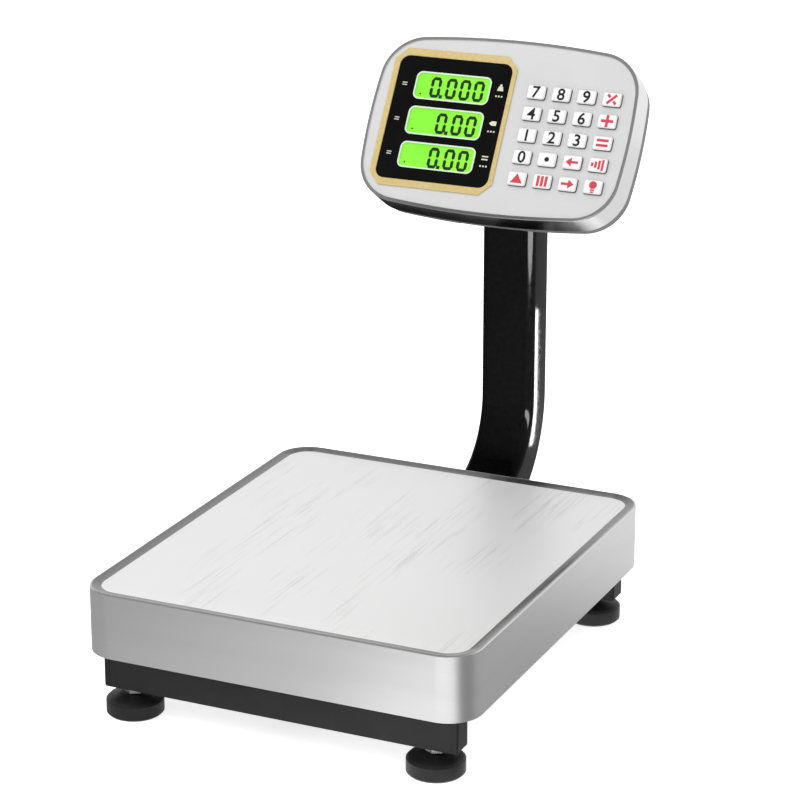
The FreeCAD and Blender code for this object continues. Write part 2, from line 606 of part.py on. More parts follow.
def head_shells():
    """The front housing with its openings, and the bright band around it."""
    front = bowed_block(0, (-FRONT_DEPTH, 0)).cut(bowed_block(HEAD_WALL, (-FRONT_DEPTH - EPS, -HEAD_WALL)))
    front = front.cut(window_ring(WINDOW_LAP, (-HEAD_WALL - EPS, EPS)))
    for column_index in range(KEY_COLUMNS):
        for row in range(KEY_ROWS):
            x, v = key_corner(column_index, row)
            front = front.cut(rounded_block((x - KEY_CLEAR, x + KEY_W + KEY_CLEAR),
                                            (v - KEY_CLEAR, v + KEY_H + KEY_CLEAR),
                                            (-HEAD_WALL - EPS, EPS), KEY_R + KEY_CLEAR))
    for x, v in SCREW_SPOTS:
        front = front.fuse(rod(x, v, -FRONT_DEPTH, POST_R, FRONT_DEPTH - HEAD_WALL))
        front = front.cut(rod(x, v, -FRONT_DEPTH - EPS, HOUSING_SCREW_R, HOUSING_SCREW_L + EPS))
    keep_on_head("front_housing", front)
    band = bowed_block(-BAND_T, (-FRONT_DEPTH, BAND_LIP))
    lip = edges_at(band, lambda b: b.ZLength < 1e-6 and abs(b.ZMax - BAND_LIP) < 1e-6)
    band = band.makeFillet(BAND_EDGE_R, lip)
    keep_on_head("trim_band", band.cut(bowed_block(0, (-FRONT_DEPTH - EPS, BAND_LIP + EPS))))


def rear_housing():
    """The rear shell: rim, tapered back, slot for the column and the hinge barrels."""
    step, rim_n = -REAR_STEP, -FRONT_DEPTH - REAR_RIM
    outer = bowed_block(step, (rim_n, -FRONT_DEPTH)).fuse(bowed_taper(step, rim_n, step + REAR_TAPER, REAR_N))
    barrel = rod(-BARREL_END, TILT_V, TILT_N, BARREL_R, 2 * BARREL_END, X_AXIS)
    saddle = block((-BARREL_END, BARREL_END), (TILT_V - BARREL_R, TILT_V + BARREL_R), (TILT_N, REAR_N + EPS))
    barrel = barrel.fuse(saddle).removeSplitter()
    ends = edges_at(barrel, lambda b: b.XLength < 1e-6 and b.ZMin < TILT_N - EPS)
    outer = outer.fuse(barrel.makeFillet(BARREL_EDGE_R, ends))
    wall = HEAD_WALL
    hollow = bowed_block(step + wall, (rim_n, -FRONT_DEPTH + EPS)).fuse(
        bowed_taper(step + wall, rim_n, step + wall + REAR_TAPER, REAR_N + wall))
    for side in (-1, 1):
        x = sorted((side * BOSS_END, side * (BARREL_END - wall)))
        hollow = hollow.fuse(rod(x[0], TILT_V, TILT_N, BARREL_R - wall, x[1] - x[0], X_AXIS))
        hollow = hollow.fuse(block(x, (TILT_V + wall - BARREL_R, TILT_V + BARREL_R - wall),
                                   (TILT_N, REAR_N + wall + EPS)))
    v0, n0 = -HEAD_BELOW - REAR_TAPER, REAR_N - 2 * BARREL_R
    slot = block((-SLOT_HALF, SLOT_HALF), (v0, SLOT_TOP_V), (n0, SLOT_FLOOR_N))
    lining = block((-SLOT_HALF - wall, SLOT_HALF + wall), (v0, SLOT_TOP_V + wall), (n0, SLOT_FLOOR_N + wall))
    shell = outer.cut(hollow.cut(lining)).cut(slot)
    for side in (-1, 1):
        x = sorted((side * (TUBE_X / 2 + BOSS_GAP), side * (SLOT_HALF + EPS)))
        shell = shell.fuse(rod(x[0], TILT_V, TILT_N, BOSS_R, x[1] - x[0], X_AXIS))
    shell = shell.cut(rod(-BOSS_END - EPS, TILT_V, TILT_N, TILT_BOLT_R, 2 * BOSS_END + 2 * EPS, X_AXIS))
    for x, v in SCREW_SPOTS:
        post = rod(x, v, REAR_N, SCREW_HEAD_R + SCREW_WALL, -FRONT_DEPTH - REAR_N).common(outer)
        shell = shell.fuse(post).cut(rod(x, v, REAR_N - EPS, HOUSING_SCREW_R, -REAR_N))
        shell = shell.cut(rod(x, v, REAR_N - EPS, SCREW_HEAD_R + BOSS_GAP, REAR_TAPER - SCREW_SEAT + EPS))
    for tool in (rear_display_tool(), rocker_opening(), jack_opening()):
        shell = shell.cut(tool)
    keep_on_head("rear_housing", shell.fuse(rocker_pin(ROCKER_PIN_R, ROCKER_GAP + HEAD_WALL)))


def rear_display_tool():
    """The opening behind the rear display window."""
    low, high = REAR_WINDOW_V
    lap = REAR_WINDOW_LAP
    return block((lap - REAR_WINDOW_X, REAR_WINDOW_X - lap), (low + lap, high - lap),
                 (REAR_N - EPS, REAR_N + HEAD_WALL + EPS))


def rear_display():
    """The customer's display: a black window with three small displays behind it."""
    low, high = REAR_WINDOW_V
    border, lap = REAR_LCD_BORDER, REAR_LCD_LAP
    window = rounded_block((-REAR_WINDOW_X, REAR_WINDOW_X), (low, high), (REAR_N - REAR_WINDOW_T, REAR_N),
                           REAR_WINDOW_R)
    displays = []
    for i in (-1, 0, 1):
        x = (i * REAR_LCD_PITCH - REAR_LCD_W / 2, i * REAR_LCD_PITCH + REAR_LCD_W / 2)
        window = window.cut(rounded_block(x, (low + border, high - border),
                                          (REAR_N - REAR_WINDOW_T - EPS, REAR_N + EPS), REAR_LCD_R))
        displays.append(block((x[0] - lap, x[1] + lap), (low + border - lap, high - border + lap),
                              (REAR_N, REAR_N + LCD_T)))
    keep_on_head("rear_window", window)
    keep_on_head("rear_displays", *displays)


def display():
    """The gold frame, the black window with its three displays, and the circuit board."""
    left, right, below, above = FRAME_BORDER
    x0, x1 = WINDOW_X[0] - left, WINDOW_X[1] + right
    v0, v1 = WINDOW_V[0] - below, WINDOW_V[1] + above
    cut = FRAME_CUT
    corners = [(x0 + cut, v0), (x1 - cut, v0), (x1, v0 + cut), (x1, v1 - cut),
               (x1 - cut, v1), (x0 + cut, v1), (x0, v1 - cut), (x0, v0 + cut)]
    points = [Vector(x, v, 0) for x, v in corners]
    frame = Part.Face(Part.makePolygon(points + points[:1])).extrude(Vector(0, 0, FRAME_T))
    keep_on_head("display_frame", frame.cut(window_ring(0, (-EPS, FRAME_T + EPS))))
    window = window_ring(WINDOW_LAP, (-WINDOW_T, 0))
    for name, v in zip(("weight_display", "unit_price_display", "total_price_display"), LCD_V):
        window = window.cut(rounded_block(LCD_X, v, (-WINDOW_T - EPS, EPS), LCD_R))
        keep_on_head(name, block((LCD_X[0] - LCD_LAP, LCD_X[1] + LCD_LAP), (v[0] - LCD_LAP, v[1] + LCD_LAP),
                                 (-WINDOW_T - LCD_T, -WINDOW_T)))
    keep_on_head("display_window", window)


def keypad():
    """Twenty caps with retaining lips, the rubber mat below them and the board."""
    bottom = -HEAD_WALL - KEY_BACKLASH - KEY_LIP_T
    dome_top = bottom - KEY_TRAVEL - KEY_BACKLASH
    mat_top = dome_top - DOME_BASE
    x_end, v_start = key_corner(KEY_COLUMNS - 1, KEY_ROWS - 1)
    mat = block((KEY_X0 - MAT_LAP, x_end + KEY_W + MAT_LAP), (v_start - MAT_LAP, KEY_V0 + KEY_H + MAT_LAP),
                (mat_top - MAT_T, mat_top))
    number = 0
    for row in range(KEY_ROWS):
        for column_index in range(KEY_COLUMNS):
            x, v = key_corner(column_index, row)
            number += 1
            cap = rounded_block((x, x + KEY_W), (v, v + KEY_H), (bottom, KEY_PROUD), KEY_R)
            top = edges_at(cap, lambda b: b.ZLength < 1e-6 and abs(b.ZMax - KEY_PROUD) < 1e-6)
            cap = cap.makeChamfer(KEY_BEVEL, top)
            lip = block((x - KEY_LIP, x + KEY_W + KEY_LIP), (v - KEY_LIP, v + KEY_H + KEY_LIP),
                        (bottom, bottom + KEY_LIP_T))
            keep_on_head("key_%02d" % number, cap.fuse(lip))
            mat = mat.fuse(rod(x + KEY_W / 2, v + KEY_H / 2, mat_top, DOME_R, DOME_BASE))
    keep_on_head("keypad_mat", mat)
    board_top = mat_top - MAT_T
    board = block((WINDOW_X[0], HEAD_W / 2 - BOARD_RIGHT), (WINDOW_V[0], WINDOW_V[1]),
                  (board_top - BOARD_T, board_top))
    keep_on_head("circuit_board", board)
    battery_n = board_top - BOARD_T - BATTERY_GAP
    (x, v), (width, height, depth) = BATTERY_AT, BATTERY
    keep_on_head("battery_pack", rounded_block((x - width / 2, x + width / 2), (v - height / 2, v + height / 2),
                                               (battery_n - depth, battery_n), BATTERY_R))


def head_fasteners():
    """The housing screws and the bolt and nut of the tilt hinge."""
    screws = []
    seat = REAR_N + REAR_TAPER - SCREW_SEAT
    for x, v in SCREW_SPOTS:
        shank = rod(x, v, seat, HOUSING_SCREW_R, HOUSING_SCREW_L - FRONT_DEPTH - seat)
        screws.append(shank.fuse(rod(x, v, seat - SCREW_HEAD_T, SCREW_HEAD_R, SCREW_HEAD_T)))
    keep_on_head("housing_screws", *screws)
    past_nut = TILT_NUT_T + 2 * EPS
    bolt = rod(-BOSS_END, TILT_V, TILT_N, TILT_BOLT_R, 2 * BOSS_END + past_nut, X_AXIS)
    bolt = bolt.fuse(hexagon(-BOSS_END - TILT_HEAD_T, TILT_V, TILT_N, TILT_HEX_R, TILT_HEAD_T, X_AXIS))
    nut = hexagon(BOSS_END, TILT_V, TILT_N, TILT_HEX_R, TILT_NUT_T, X_AXIS)
    keep_on_head("tilt_bolt", bolt, nut.cut(rod(BOSS_END - EPS, TILT_V, TILT_N, TILT_BOLT_R, past_nut, X_AXIS)))


def rocker_opening():
    """The opening for the power rocker."""
    half_x, half_v = ROCKER_W / 2 + ROCKER_GAP, ROCKER_L / 2 + ROCKER_GAP
    return block((ROCKER_X - half_x, ROCKER_X + half_x), (CONTROL_V - half_v, CONTROL_V + half_v),
                 (REAR_N - EPS, REAR_N + HEAD_WALL + EPS))


def rocker_pin(radius, beyond):
    """The pin that the rocker turns on, reaching a little beyond it on both sides."""
    half = ROCKER_W / 2 + beyond
    return rod(ROCKER_X - half, CONTROL_V, REAR_N + ROCKER_PIVOT_IN, radius, 2 * half, X_AXIS)


def jack_opening():
    """The opening for the round nose of the charging socket."""
    return rod(JACK_X, CONTROL_V, REAR_N - EPS, JACK_NOSE_R, HEAD_WALL + 2 * EPS)


def controls():
    """The power rocker, off, and the charging socket."""
    n, half = REAR_N, ROCKER_L / 2
    outline = [(-half, n - ROCKER_PROUD), (0, n - ROCKER_PROUD + ROCKER_DISH), (half, n - ROCKER_PROUD),
               (half, n + ROCKER_IN), (-half, n + ROCKER_IN)]
    points = [Vector(ROCKER_X - ROCKER_W / 2, CONTROL_V + v, depth) for v, depth in outline]
    rocker = Part.Face(Part.makePolygon(points + points[:1])).extrude(Vector(ROCKER_W, 0, 0))
    rocker = rocker.cut(rocker_pin(ROCKER_PIN_R + RUNNING, EPS))
    pivot = Vector(0, CONTROL_V, n + ROCKER_PIVOT_IN)
    keep_on_head("power_rocker", turned(rocker, pivot, X_AXIS, -ROCKER_TILT))
    width, height, depth = JACK_BODY
    inner = n + HEAD_WALL
    socket = block((JACK_X - width / 2, JACK_X + width / 2), (CONTROL_V - height / 2, CONTROL_V + height / 2),
                   (inner, inner + depth))
    socket = socket.fuse(rod(JACK_X, CONTROL_V, n - JACK_PROUD, JACK_NOSE_R, HEAD_WALL + JACK_PROUD))
    bore = rod(JACK_X, CONTROL_V, n - JACK_PROUD - EPS, JACK_BORE_R, JACK_BORE_L + EPS)
    keep_on_head("charging_socket", socket.cut(bore))


base_frame()
load_cell()
platform()
feet()
weighing_pan()
column()
fold_bracket()
head_shells()
rear_housing()
rear_display()
display()
keypad()
head_fasteners()
controls()

# The origin goes to the floor under the middle of the whole scale
whole = Part.makeCompound(list(nodes.values())).optimalBoundingBox(False, False)
ORIGIN_Y = (whole.YMin + whole.YMax) / 2
os.makedirs("parts", exist_ok=True)
for name, shape in nodes.items():
    shape.translate(Vector(0, -ORIGIN_Y, 0))
    shape.exportStep("parts/%s.step" % name)
print(len(nodes), "nodes, size %.1f x %.1f x %.1f mm" % (whole.XLength, whole.YLength, whole.ZLength))
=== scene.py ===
# %% [markdown]
# # A retail price scale
# A loose steel pan on a low black frame, a glossy bent column behind it, and a tilting head
# with three lit displays and twenty keys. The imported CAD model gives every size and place.
# This file adds what a CAD model does not have: finishes, printed marks, lit digits, screw
# threads and surfaces that are smooth enough to reflect a studio.

# %% Load the frame
import json
import math

import bmesh
import bpy
from mathutils import Matrix, Vector


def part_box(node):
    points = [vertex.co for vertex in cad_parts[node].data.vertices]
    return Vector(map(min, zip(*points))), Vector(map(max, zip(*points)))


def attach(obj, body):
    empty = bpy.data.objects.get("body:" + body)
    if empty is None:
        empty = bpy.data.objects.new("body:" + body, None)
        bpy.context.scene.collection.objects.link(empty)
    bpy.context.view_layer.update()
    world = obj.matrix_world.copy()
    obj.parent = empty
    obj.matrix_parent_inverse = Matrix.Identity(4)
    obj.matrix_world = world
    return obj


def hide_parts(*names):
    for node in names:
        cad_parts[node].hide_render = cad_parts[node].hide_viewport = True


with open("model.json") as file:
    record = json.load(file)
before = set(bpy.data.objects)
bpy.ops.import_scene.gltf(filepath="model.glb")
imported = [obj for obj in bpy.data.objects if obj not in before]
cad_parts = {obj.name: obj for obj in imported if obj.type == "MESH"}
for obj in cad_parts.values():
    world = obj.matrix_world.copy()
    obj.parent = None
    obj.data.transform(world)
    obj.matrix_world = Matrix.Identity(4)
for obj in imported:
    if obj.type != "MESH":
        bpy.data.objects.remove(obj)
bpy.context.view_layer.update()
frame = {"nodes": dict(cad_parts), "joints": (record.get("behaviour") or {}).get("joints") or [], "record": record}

MM = 0.001
JOINTS = {joint["name"]: joint for joint in frame["joints"]}
BODY_OF = {node: body for body, group in frame["record"]["behaviour"]["bodies"].items() for node in group}
SLOT_OF = {part["node"]: part["material_slot"] for part in frame["record"]["subparts"]}

# %% [markdown]
# ## The plane of the face
# Everything printed or lit on the head lies in one leaning plane. The keys are pressed
# straight into it, so a key's joint axis is that plane's normal. With one matrix from the
# plane to the scene, each mark can be drawn flat, in two dimensions, and then set in place.

# %% Face coordinates
FACE_NORMAL = -Vector(JOINTS["key_01_press"]["axis"]).normalized()
FACE_RIGHT = Vector((1, 0, 0))
FACE_UP = FACE_NORMAL.cross(FACE_RIGHT)


def reach(node, direction):
    """How far a node extends along a direction, as (lowest, highest)."""
    along = [vertex.co.dot(direction) for vertex in frame["nodes"][node].data.vertices]
    return min(along), max(along)


def face_box(node):
    """A node's limits in the plane of the face: ((x, x), (v, v), (n, n))."""
    return tuple(reach(node, axis) for axis in (FACE_RIGHT, FACE_UP, FACE_NORMAL))


def face_place(x, v, n, flip=1):
    """The matrix that sets a flat drawing on the face; flip -1 looks out of the back."""
    matrix = Matrix((FACE_RIGHT * flip, FACE_UP, FACE_NORMAL * flip)).transposed().to_4x4()
    matrix.translation = FACE_RIGHT * x + FACE_UP * v + FACE_NORMAL * n
    return matrix


PAN_LOW, PAN_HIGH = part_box("weighing_pan")
PAN_MID = (PAN_LOW + PAN_HIGH) / 2
print("face normal", [round(c, 3) for c in FACE_NORMAL], "pan", [round(c, 3) for c in PAN_HIGH - PAN_LOW])

# %% [markdown]
# ## Camera and studio
# The camera stands to the right and above, far enough away for a gentle perspective. The
# floor and the walls are pale. Bright metal looks like what stands around it, so reflections
# see a darker room and a sheet on the floor that glows more in some places than in others.

# %% Camera
CAMERA_FROM_PAN = Vector((0.8453, -1.7891, 0.7753))
CAMERA_AZIMUTH = math.radians(24.706)
CAMERA_ELEVATION = math.radians(18.602)
LENS_MM = 130.37
SENSOR_MM = 36.0
CLIP_NEAR, CLIP_FAR = 0.05, 50.0


def make_camera():
    """A camera placed from the middle of the pan's top."""
    camera = bpy.data.objects.new("studio_camera", bpy.data.cameras.new("studio_camera"))
    bpy.context.scene.collection.objects.link(camera)
    level = math.cos(CAMERA_ELEVATION)
    back = Vector((math.sin(CAMERA_AZIMUTH) * level, -math.cos(CAMERA_AZIMUTH) * level,
                   math.sin(CAMERA_ELEVATION)))
    right = (-back).cross(Vector((0, 0, 1))).normalized()
    camera.matrix_world = Matrix((right, back.cross(right), back)).transposed().to_4x4()
    camera.location = Vector((PAN_MID.x, PAN_MID.y, PAN_HIGH.z)) + CAMERA_FROM_PAN
    camera.data.lens = LENS_MM
    camera.data.sensor_width = SENSOR_MM
    camera.data.clip_start, camera.data.clip_end = CLIP_NEAR, CLIP_FAR
    bpy.context.scene.camera = camera


make_camera()
print("camera:", LENS_MM, "mm lens")


# %% Studio helpers
def area_light(name, place, target, size, power):
    """A soft light that looks at a point."""
    data = bpy.data.lights.new(name, "AREA")
    data.shape = "RECTANGLE"
    data.size, data.size_y = size
    data.energy = power
    light = bpy.data.objects.new(name, data)
    light.location = place
    light.rotation_euler = (Vector(target) - Vector(place)).to_track_quat("-Z", "Y").to_euler()
    bpy.context.scene.collection.objects.link(light)
    return light


def plain_mesh(name, points, faces, edges=()):
    """A mesh object from points, faces and loose edges, linked to the scene."""
    mesh = bpy.data.meshes.new(name)
    mesh.from_pydata([tuple(p) for p in points], edges, faces)
    obj = bpy.data.objects.new(name, mesh)
    bpy.context.scene.collection.objects.link(obj)
    return obj


# %% Room
WHITE = (1, 1, 1, 1)
ROOM_LIGHT = 0.60
REFLECTED_DARK = 0.30
REFLECTED_WALL = 1.0
WALL_BEHIND = (-0.10, 0.35)     # the bright wall of reflections starts and is full at these Y
WALL_TOP = (0.62, 0.30)         # and at these Z, both of a direction of length 1


def make_world():
    """A pale room: white for the camera, even for light, and graded for reflections."""
    world = bpy.data.worlds.new("studio")
    bpy.context.scene.world = world
    world.use_nodes = True
    tree = world.node_tree
    tree.nodes.clear()

    def node(kind, *links, **values):
        made = tree.nodes.new("ShaderNode" + kind)
        for index, socket in links:
            tree.links.new(socket, made.inputs[index])
        for name, value in values.items():
            made.inputs[name.replace("_", " ")].default_value = value
        return made

    direction = node("SeparateXYZ", (0, node("TexCoord").outputs["Generated"]))
    behind = node("MapRange", (0, direction.outputs["Y"]), From_Min=WALL_BEHIND[0], From_Max=WALL_BEHIND[1])
    low = node("MapRange", (0, direction.outputs["Z"]), From_Min=WALL_TOP[0], From_Max=WALL_TOP[1])
    wall = node("Math", (0, behind.outputs[0]), (1, low.outputs[0]))
    wall.operation = "MULTIPLY"
    shade = node("MapRange", (0, wall.outputs[0]), To_Min=REFLECTED_DARK, To_Max=REFLECTED_WALL)
    rays = node("LightPath")
    reflected = node("Background", (1, shade.outputs[0]), Color=WHITE)
    even = node("Background", Color=WHITE, Strength=ROOM_LIGHT)
    seen = node("Background", Color=WHITE, Strength=1.0)
    unseen = node("MixShader", (0, rays.outputs["Is Glossy Ray"]), (1, even.outputs[0]),
                  (2, reflected.outputs[0]))
    mixed = node("MixShader", (0, rays.outputs["Is Camera Ray"]), (1, unseen.outputs[0]),
                 (2, seen.outputs[0]))
    node("OutputWorld", (0, mixed.outputs[0]))


make_world()
print("room: light", ROOM_LIGHT, "reflections", REFLECTED_DARK, "to", REFLECTED_WALL)

# %% Floor
FLOOR_HALF = 12.0
FLOOR_WHITE = 0.95
FLOOR_ROUGHNESS = 0.9
FLOOR_LIFT = 0.70              # what the camera sees of the floor on top of its own light


def make_floor():
    """A white floor that runs out to the horizon. Reflections see the glow sheet instead."""
    half = FLOOR_HALF
    corners = [(-half, -half, 0), (half, -half, 0), (half, half, 0), (-half, half, 0)]
    floor = plain_mesh("studio_floor", corners, [(0, 1, 2, 3)])
    material = bpy.data.materials.new("studio_floor")
    material.use_nodes = True
    tree = material.node_tree
    shader = tree.nodes["Principled BSDF"]
    shader.inputs["Base Color"].default_value = (FLOOR_WHITE, FLOOR_WHITE, FLOOR_WHITE, 1)
    shader.inputs["Roughness"].default_value = FLOOR_ROUGHNESS
    shader.inputs["Specular IOR Level"].default_value = 0.0
    shader.inputs["Emission Color"].default_value = WHITE
    rays = tree.nodes.new("ShaderNodeLightPath")
    lift = tree.nodes.new("ShaderNodeMath")
    lift.operation = "MULTIPLY"
    lift.inputs[1].default_value = FLOOR_LIFT
    tree.links.new(rays.outputs["Is Camera Ray"], lift.inputs[0])
    tree.links.new(lift.outputs[0], shader.inputs["Emission Strength"])
    floor.data.materials.append(material)
    floor.visible_glossy = False


make_floor()
print("floor:", 2 * FLOOR_HALF, "m square")

# %% [markdown]
# The glow sheet lies on the floor and only reflections see it. Where the front of the pan
# looks it brightens from left to right, round the pan's right front corner it dips, which
# gives the skirt a dark upright streak, and behind the scale on the left it is dark.

# %% Glow sheet
AHEAD = (0.38, (-0.30, 0.02, 0.30), (-0.02, 0.06, 0.42))    # base, then rises over X: from, to, gain
ASIDE = (0.38, (0.00, 0.28, 0.48))                          # the same to the right, over Y
GLOW_CORNER = (0.14, -0.225)
CORNER_GLOW = 0.24
CORNER_TURNS = ((36, 62), (98, 122))    # degrees from straight ahead where the dip starts and ends
BEHIND_DARK = (0.93, (0.12, 0.02), (0.30, 0.40))            # depth, then where it sets in over X and Y
GLOW_HALF = 1.6
GLOW_STEP = 0.02
GLOW_Z = 0.0002


def smooth_step(value, start, end):
    """0 before start, 1 after end, smooth between them; start may be above end."""
    t = min(1.0, max(0.0, (value - start) / (end - start)))
    return t * t * (3 - 2 * t)


def graded(value, base, *rises):
    """A base and what each rise adds to it at a value."""
    return base + sum(gain * smooth_step(value, start, end) for start, end, gain in rises)


def glow_at(x, y):
    """How bright the floor looks in a reflection."""
    turn = math.degrees(math.atan2(x - GLOW_CORNER[0], GLOW_CORNER[1] - y))
    past, back = (smooth_step(turn, *turns) for turns in CORNER_TURNS)
    corner = CORNER_GLOW * (1 - back) + graded(y, *ASIDE) * back
    glow = graded(x, *AHEAD) * (1 - past) + corner * past
    depth, over_x, over_y = BEHIND_DARK
    return glow * (1 - depth * smooth_step(x, *over_x) * smooth_step(y, *over_y))


def make_glow_sheet():
    """A sheet just above the floor that only reflections see."""
    count = int(2 * GLOW_HALF / GLOW_STEP) + 1
    steps = [i * GLOW_STEP - GLOW_HALF for i in range(count)]
    spots = [(x, y) for y in steps for x in steps]
    faces = [(j * count + i, j * count + i + 1, (j + 1) * count + i + 1, (j + 1) * count + i)
             for j in range(count - 1) for i in range(count - 1)]
    sheet = plain_mesh("studio_glow", [(x, y, GLOW_Z) for x, y in spots], faces)
    brightness = sheet.data.attributes.new("glow", "FLOAT", "POINT")
    brightness.data.foreach_set("value", [glow_at(x, y) for x, y in spots])
    material = bpy.data.materials.new("studio_glow")
    material.use_nodes = True
    tree = material.node_tree
    tree.nodes.clear()
    glow = tree.nodes.new("ShaderNodeAttribute")
    glow.attribute_name = "glow"
    light = tree.nodes.new("ShaderNodeEmission")
    out = tree.nodes.new("ShaderNodeOutputMaterial")
    tree.links.new(glow.outputs["Fac"], light.inputs["Strength"])
    tree.links.new(light.outputs[0], out.inputs["Surface"])
    sheet.data.materials.append(material)
    for ray in ("camera", "diffuse", "transmission", "volume_scatter", "shadow"):
        setattr(sheet, "visible_" + ray, False)


make_glow_sheet()
print("glow sheet:", GLOW_STEP, "m steps")

# %% Lights
LIGHTS = (  # name, place, what it looks at, size, watts
    ("top_softbox", (-0.7, -0.5, 2.1), (0, 0, 0.1), (2.0, 2.0), 25),
    ("front_softbox", (1.2, -2.2, 1.5), (0, 0, 0.2), (1.4, 1.4), 13),
    ("left_fill", (-2.2, -0.8, 0.9), (0, 0, 0.2), (1.0, 1.6), 5),
)
for light in LIGHTS:
    area_light(*light).visible_glossy = False
bpy.context.scene.view_settings.view_transform = "Standard"
bpy.context.scene.view_settings.look = "None"
print("lights:", len(LIGHTS))

# %% [markdown]
# ## Finishes
# Each finish is a small node tree on the Principled shader. The helpers keep the trees
# short: one gives noise in the object's own coordinates, stretched where the real surface
# has a grain, and one turns a noise into a fine bump. Object coordinates are in metres, so
# a scale of 1000 means features of about a millimetre.

# %% Finish helpers
class Finish:
    """A material with a Principled shader and short ways to add textures to it."""

    def __init__(self, name, metallic=0.0):
        self.material = bpy.data.materials.new(name)
        self.material.use_nodes = True
        self.tree = self.material.node_tree
        self.shader = self.tree.nodes["Principled BSDF"]
        self.shader.inputs["Metallic"].default_value = metallic

    def set(self, **values):
        """Fixed values on the shader's sockets; underscores stand for spaces."""
        for name, value in values.items():
            self.shader.inputs[name.replace("_", " ")].default_value = value
        return self

    def node(self, kind, **inputs):
        """A node with some of its inputs set or linked."""
        node = self.tree.nodes.new("ShaderNode" + kind)
        for name, value in inputs.items():
            socket = node.inputs[name.replace("_", " ")]
            if isinstance(value, bpy.types.NodeSocket):
                self.tree.links.new(value, socket)
            else:
                socket.default_value = value
        return node

    def coords(self, scale=(1, 1, 1), turn=(0, 0, 0)):
        """Object coordinates, stretched and turned by a Mapping node."""
        source = self.node("TexCoord").outputs["Object"]
        return self.node("Mapping", Vector=source, Scale=scale, Rotation=turn).outputs["Vector"]

    def noise(self, scale, detail=3.0, stretch=(1, 1, 1), turn=(0, 0, 0), roughness=0.5):
        """Noise, with features 1 / scale metres wide before it is stretched."""
        node = self.node("TexNoise", Vector=self.coords(stretch, turn), Scale=scale, Detail=detail)
        node.inputs["Roughness"].default_value = roughness
        return node.outputs["Fac"]

    def spread(self, value, low, high, source=(0.3, 0.7)):
        """A value from the source range, spread between low and high."""
        node = self.node("MapRange", Value=value)
        for name, number in zip(("From Min", "From Max", "To Min", "To Max"), (*source, low, high)):
            node.inputs[name].default_value = number
        return node.outputs["Result"]

    def product(self, first, second):
        """Two values multiplied."""
        node = self.node("Math")
        node.operation = "MULTIPLY"
        self.tree.links.new(first, node.inputs[0])
        self.tree.links.new(second, node.inputs[1])
        return node.outputs[0]

    def tint(self, value, low, high, source=(0.3, 0.7), socket="Base Color"):
        """The colour runs from low to high with a value."""
        ramp = self.node("ValToRGB", Fac=value)
        for element, position, color in zip(ramp.color_ramp.elements, source, (low, high)):
            element.position = position
            element.color = (*color, 1)
        self.tree.links.new(ramp.outputs["Color"], self.shader.inputs[socket])

    def rough(self, value, low, high, source=(0.3, 0.7)):
        """The roughness runs from low to high with a value."""
        self.tree.links.new(self.spread(value, low, high, source), self.shader.inputs["Roughness"])

    def bump(self, value, depth, strength=1.0):
        """A bump of the given depth in metres."""
        node = self.node("Bump", Height=value)
        node.inputs["Distance"].default_value = depth
        node.inputs["Strength"].default_value = strength
        self.tree.links.new(node.outputs["Normal"], self.shader.inputs["Normal"])


def grey(value):
    """A neutral colour."""
    return (value, value, value)


# %% [markdown]
# ### Steel
# The pan is one sheet, but its surfaces were finished in different ways: the plate has long
# faint scratches from goods that slide over it, front to back; the skirt is brushed along its
# length; the rim, which slopes from the raised edge down to the plate, is plain. The rim's darker colour is a
# painted dark reflection.

# %% Steel finishes
def plate_steel():
    """Bright plate with a fine lengthwise grain and scattered long scratches."""
    f = Finish("plate_steel", 0.45)
    grain = f.noise(900, 2, stretch=(1, 0.02, 1))
    cloud = f.noise(24, 3, stretch=(1, 0.30, 1), turn=(0, 0, 0.10))
    scratch = f.noise(420, 4, stretch=(1, 0.03, 1), turn=(0, 0, 0.04), roughness=0.7)
    marks = f.product(f.spread(scratch, 0, 1, (0.52, 0.62)), f.spread(cloud, 0, 1, (0.48, 0.62)))
    f.tint(marks, grey(0.95), grey(0.80), (0.0, 1.0))
    f.rough(grain, 0.36, 0.50)
    f.bump(grain, 0.00003, 0.5)
    return f.material


def skirt_steel():
    """Satin steel, brushed along the length of the skirt."""
    f = Finish("skirt_steel", 1.0)
    grain = f.noise(1200, 3, stretch=(0.015, 0.015, 1))
    broad = f.noise(60, 2, stretch=(0.05, 0.05, 1))
    f.tint(broad, grey(0.78), grey(0.82))
    f.rough(grain, 0.30, 0.42)
    f.bump(grain, 0.00004, 0.5)
    return f.material


def rim_steel():
    """The sloping rim: plain, with a painted dark reflection that makes it darker than the plate."""
    f = Finish("rim_steel", 1.0)
    cloud = f.noise(120, 2)
    # The dark grey is painted reflection: it stands for the dark room the slope reflects, not the steel's own
    # colour.
    f.tint(cloud, grey(0.34), grey(0.42))
    f.rough(cloud, 0.34, 0.42)
    return f.material


def zinc_steel():
    """Bright zinc on fasteners, slightly mottled."""
    f = Finish("zinc_steel", 1.0)
    mottle = f.noise(900, 4)
    f.tint(mottle, (0.66, 0.67, 0.66), (0.80, 0.80, 0.78))
    f.rough(mottle, 0.22, 0.38)
    f.bump(f.noise(3000, 2), 0.00001)
    return f.material


def machined_aluminium():
    """The load cell: milled flat, with tool lines across it."""
    f = Finish("machined_aluminium", 1.0)
    lines = f.noise(2000, 2, stretch=(0.03, 1, 1))
    f.tint(lines, (0.72, 0.73, 0.74), (0.84, 0.85, 0.86))
    f.rough(lines, 0.26, 0.40)
    f.bump(lines, 0.00002, 0.6)
    return f.material


# %% [markdown]
# ### Paint, plastic and rubber
# The frame is powder coated, which leaves a fine orange peel. The column has a wet-looking
# gloss. The mouldings have the fine spark-eroded texture of most instrument housings.

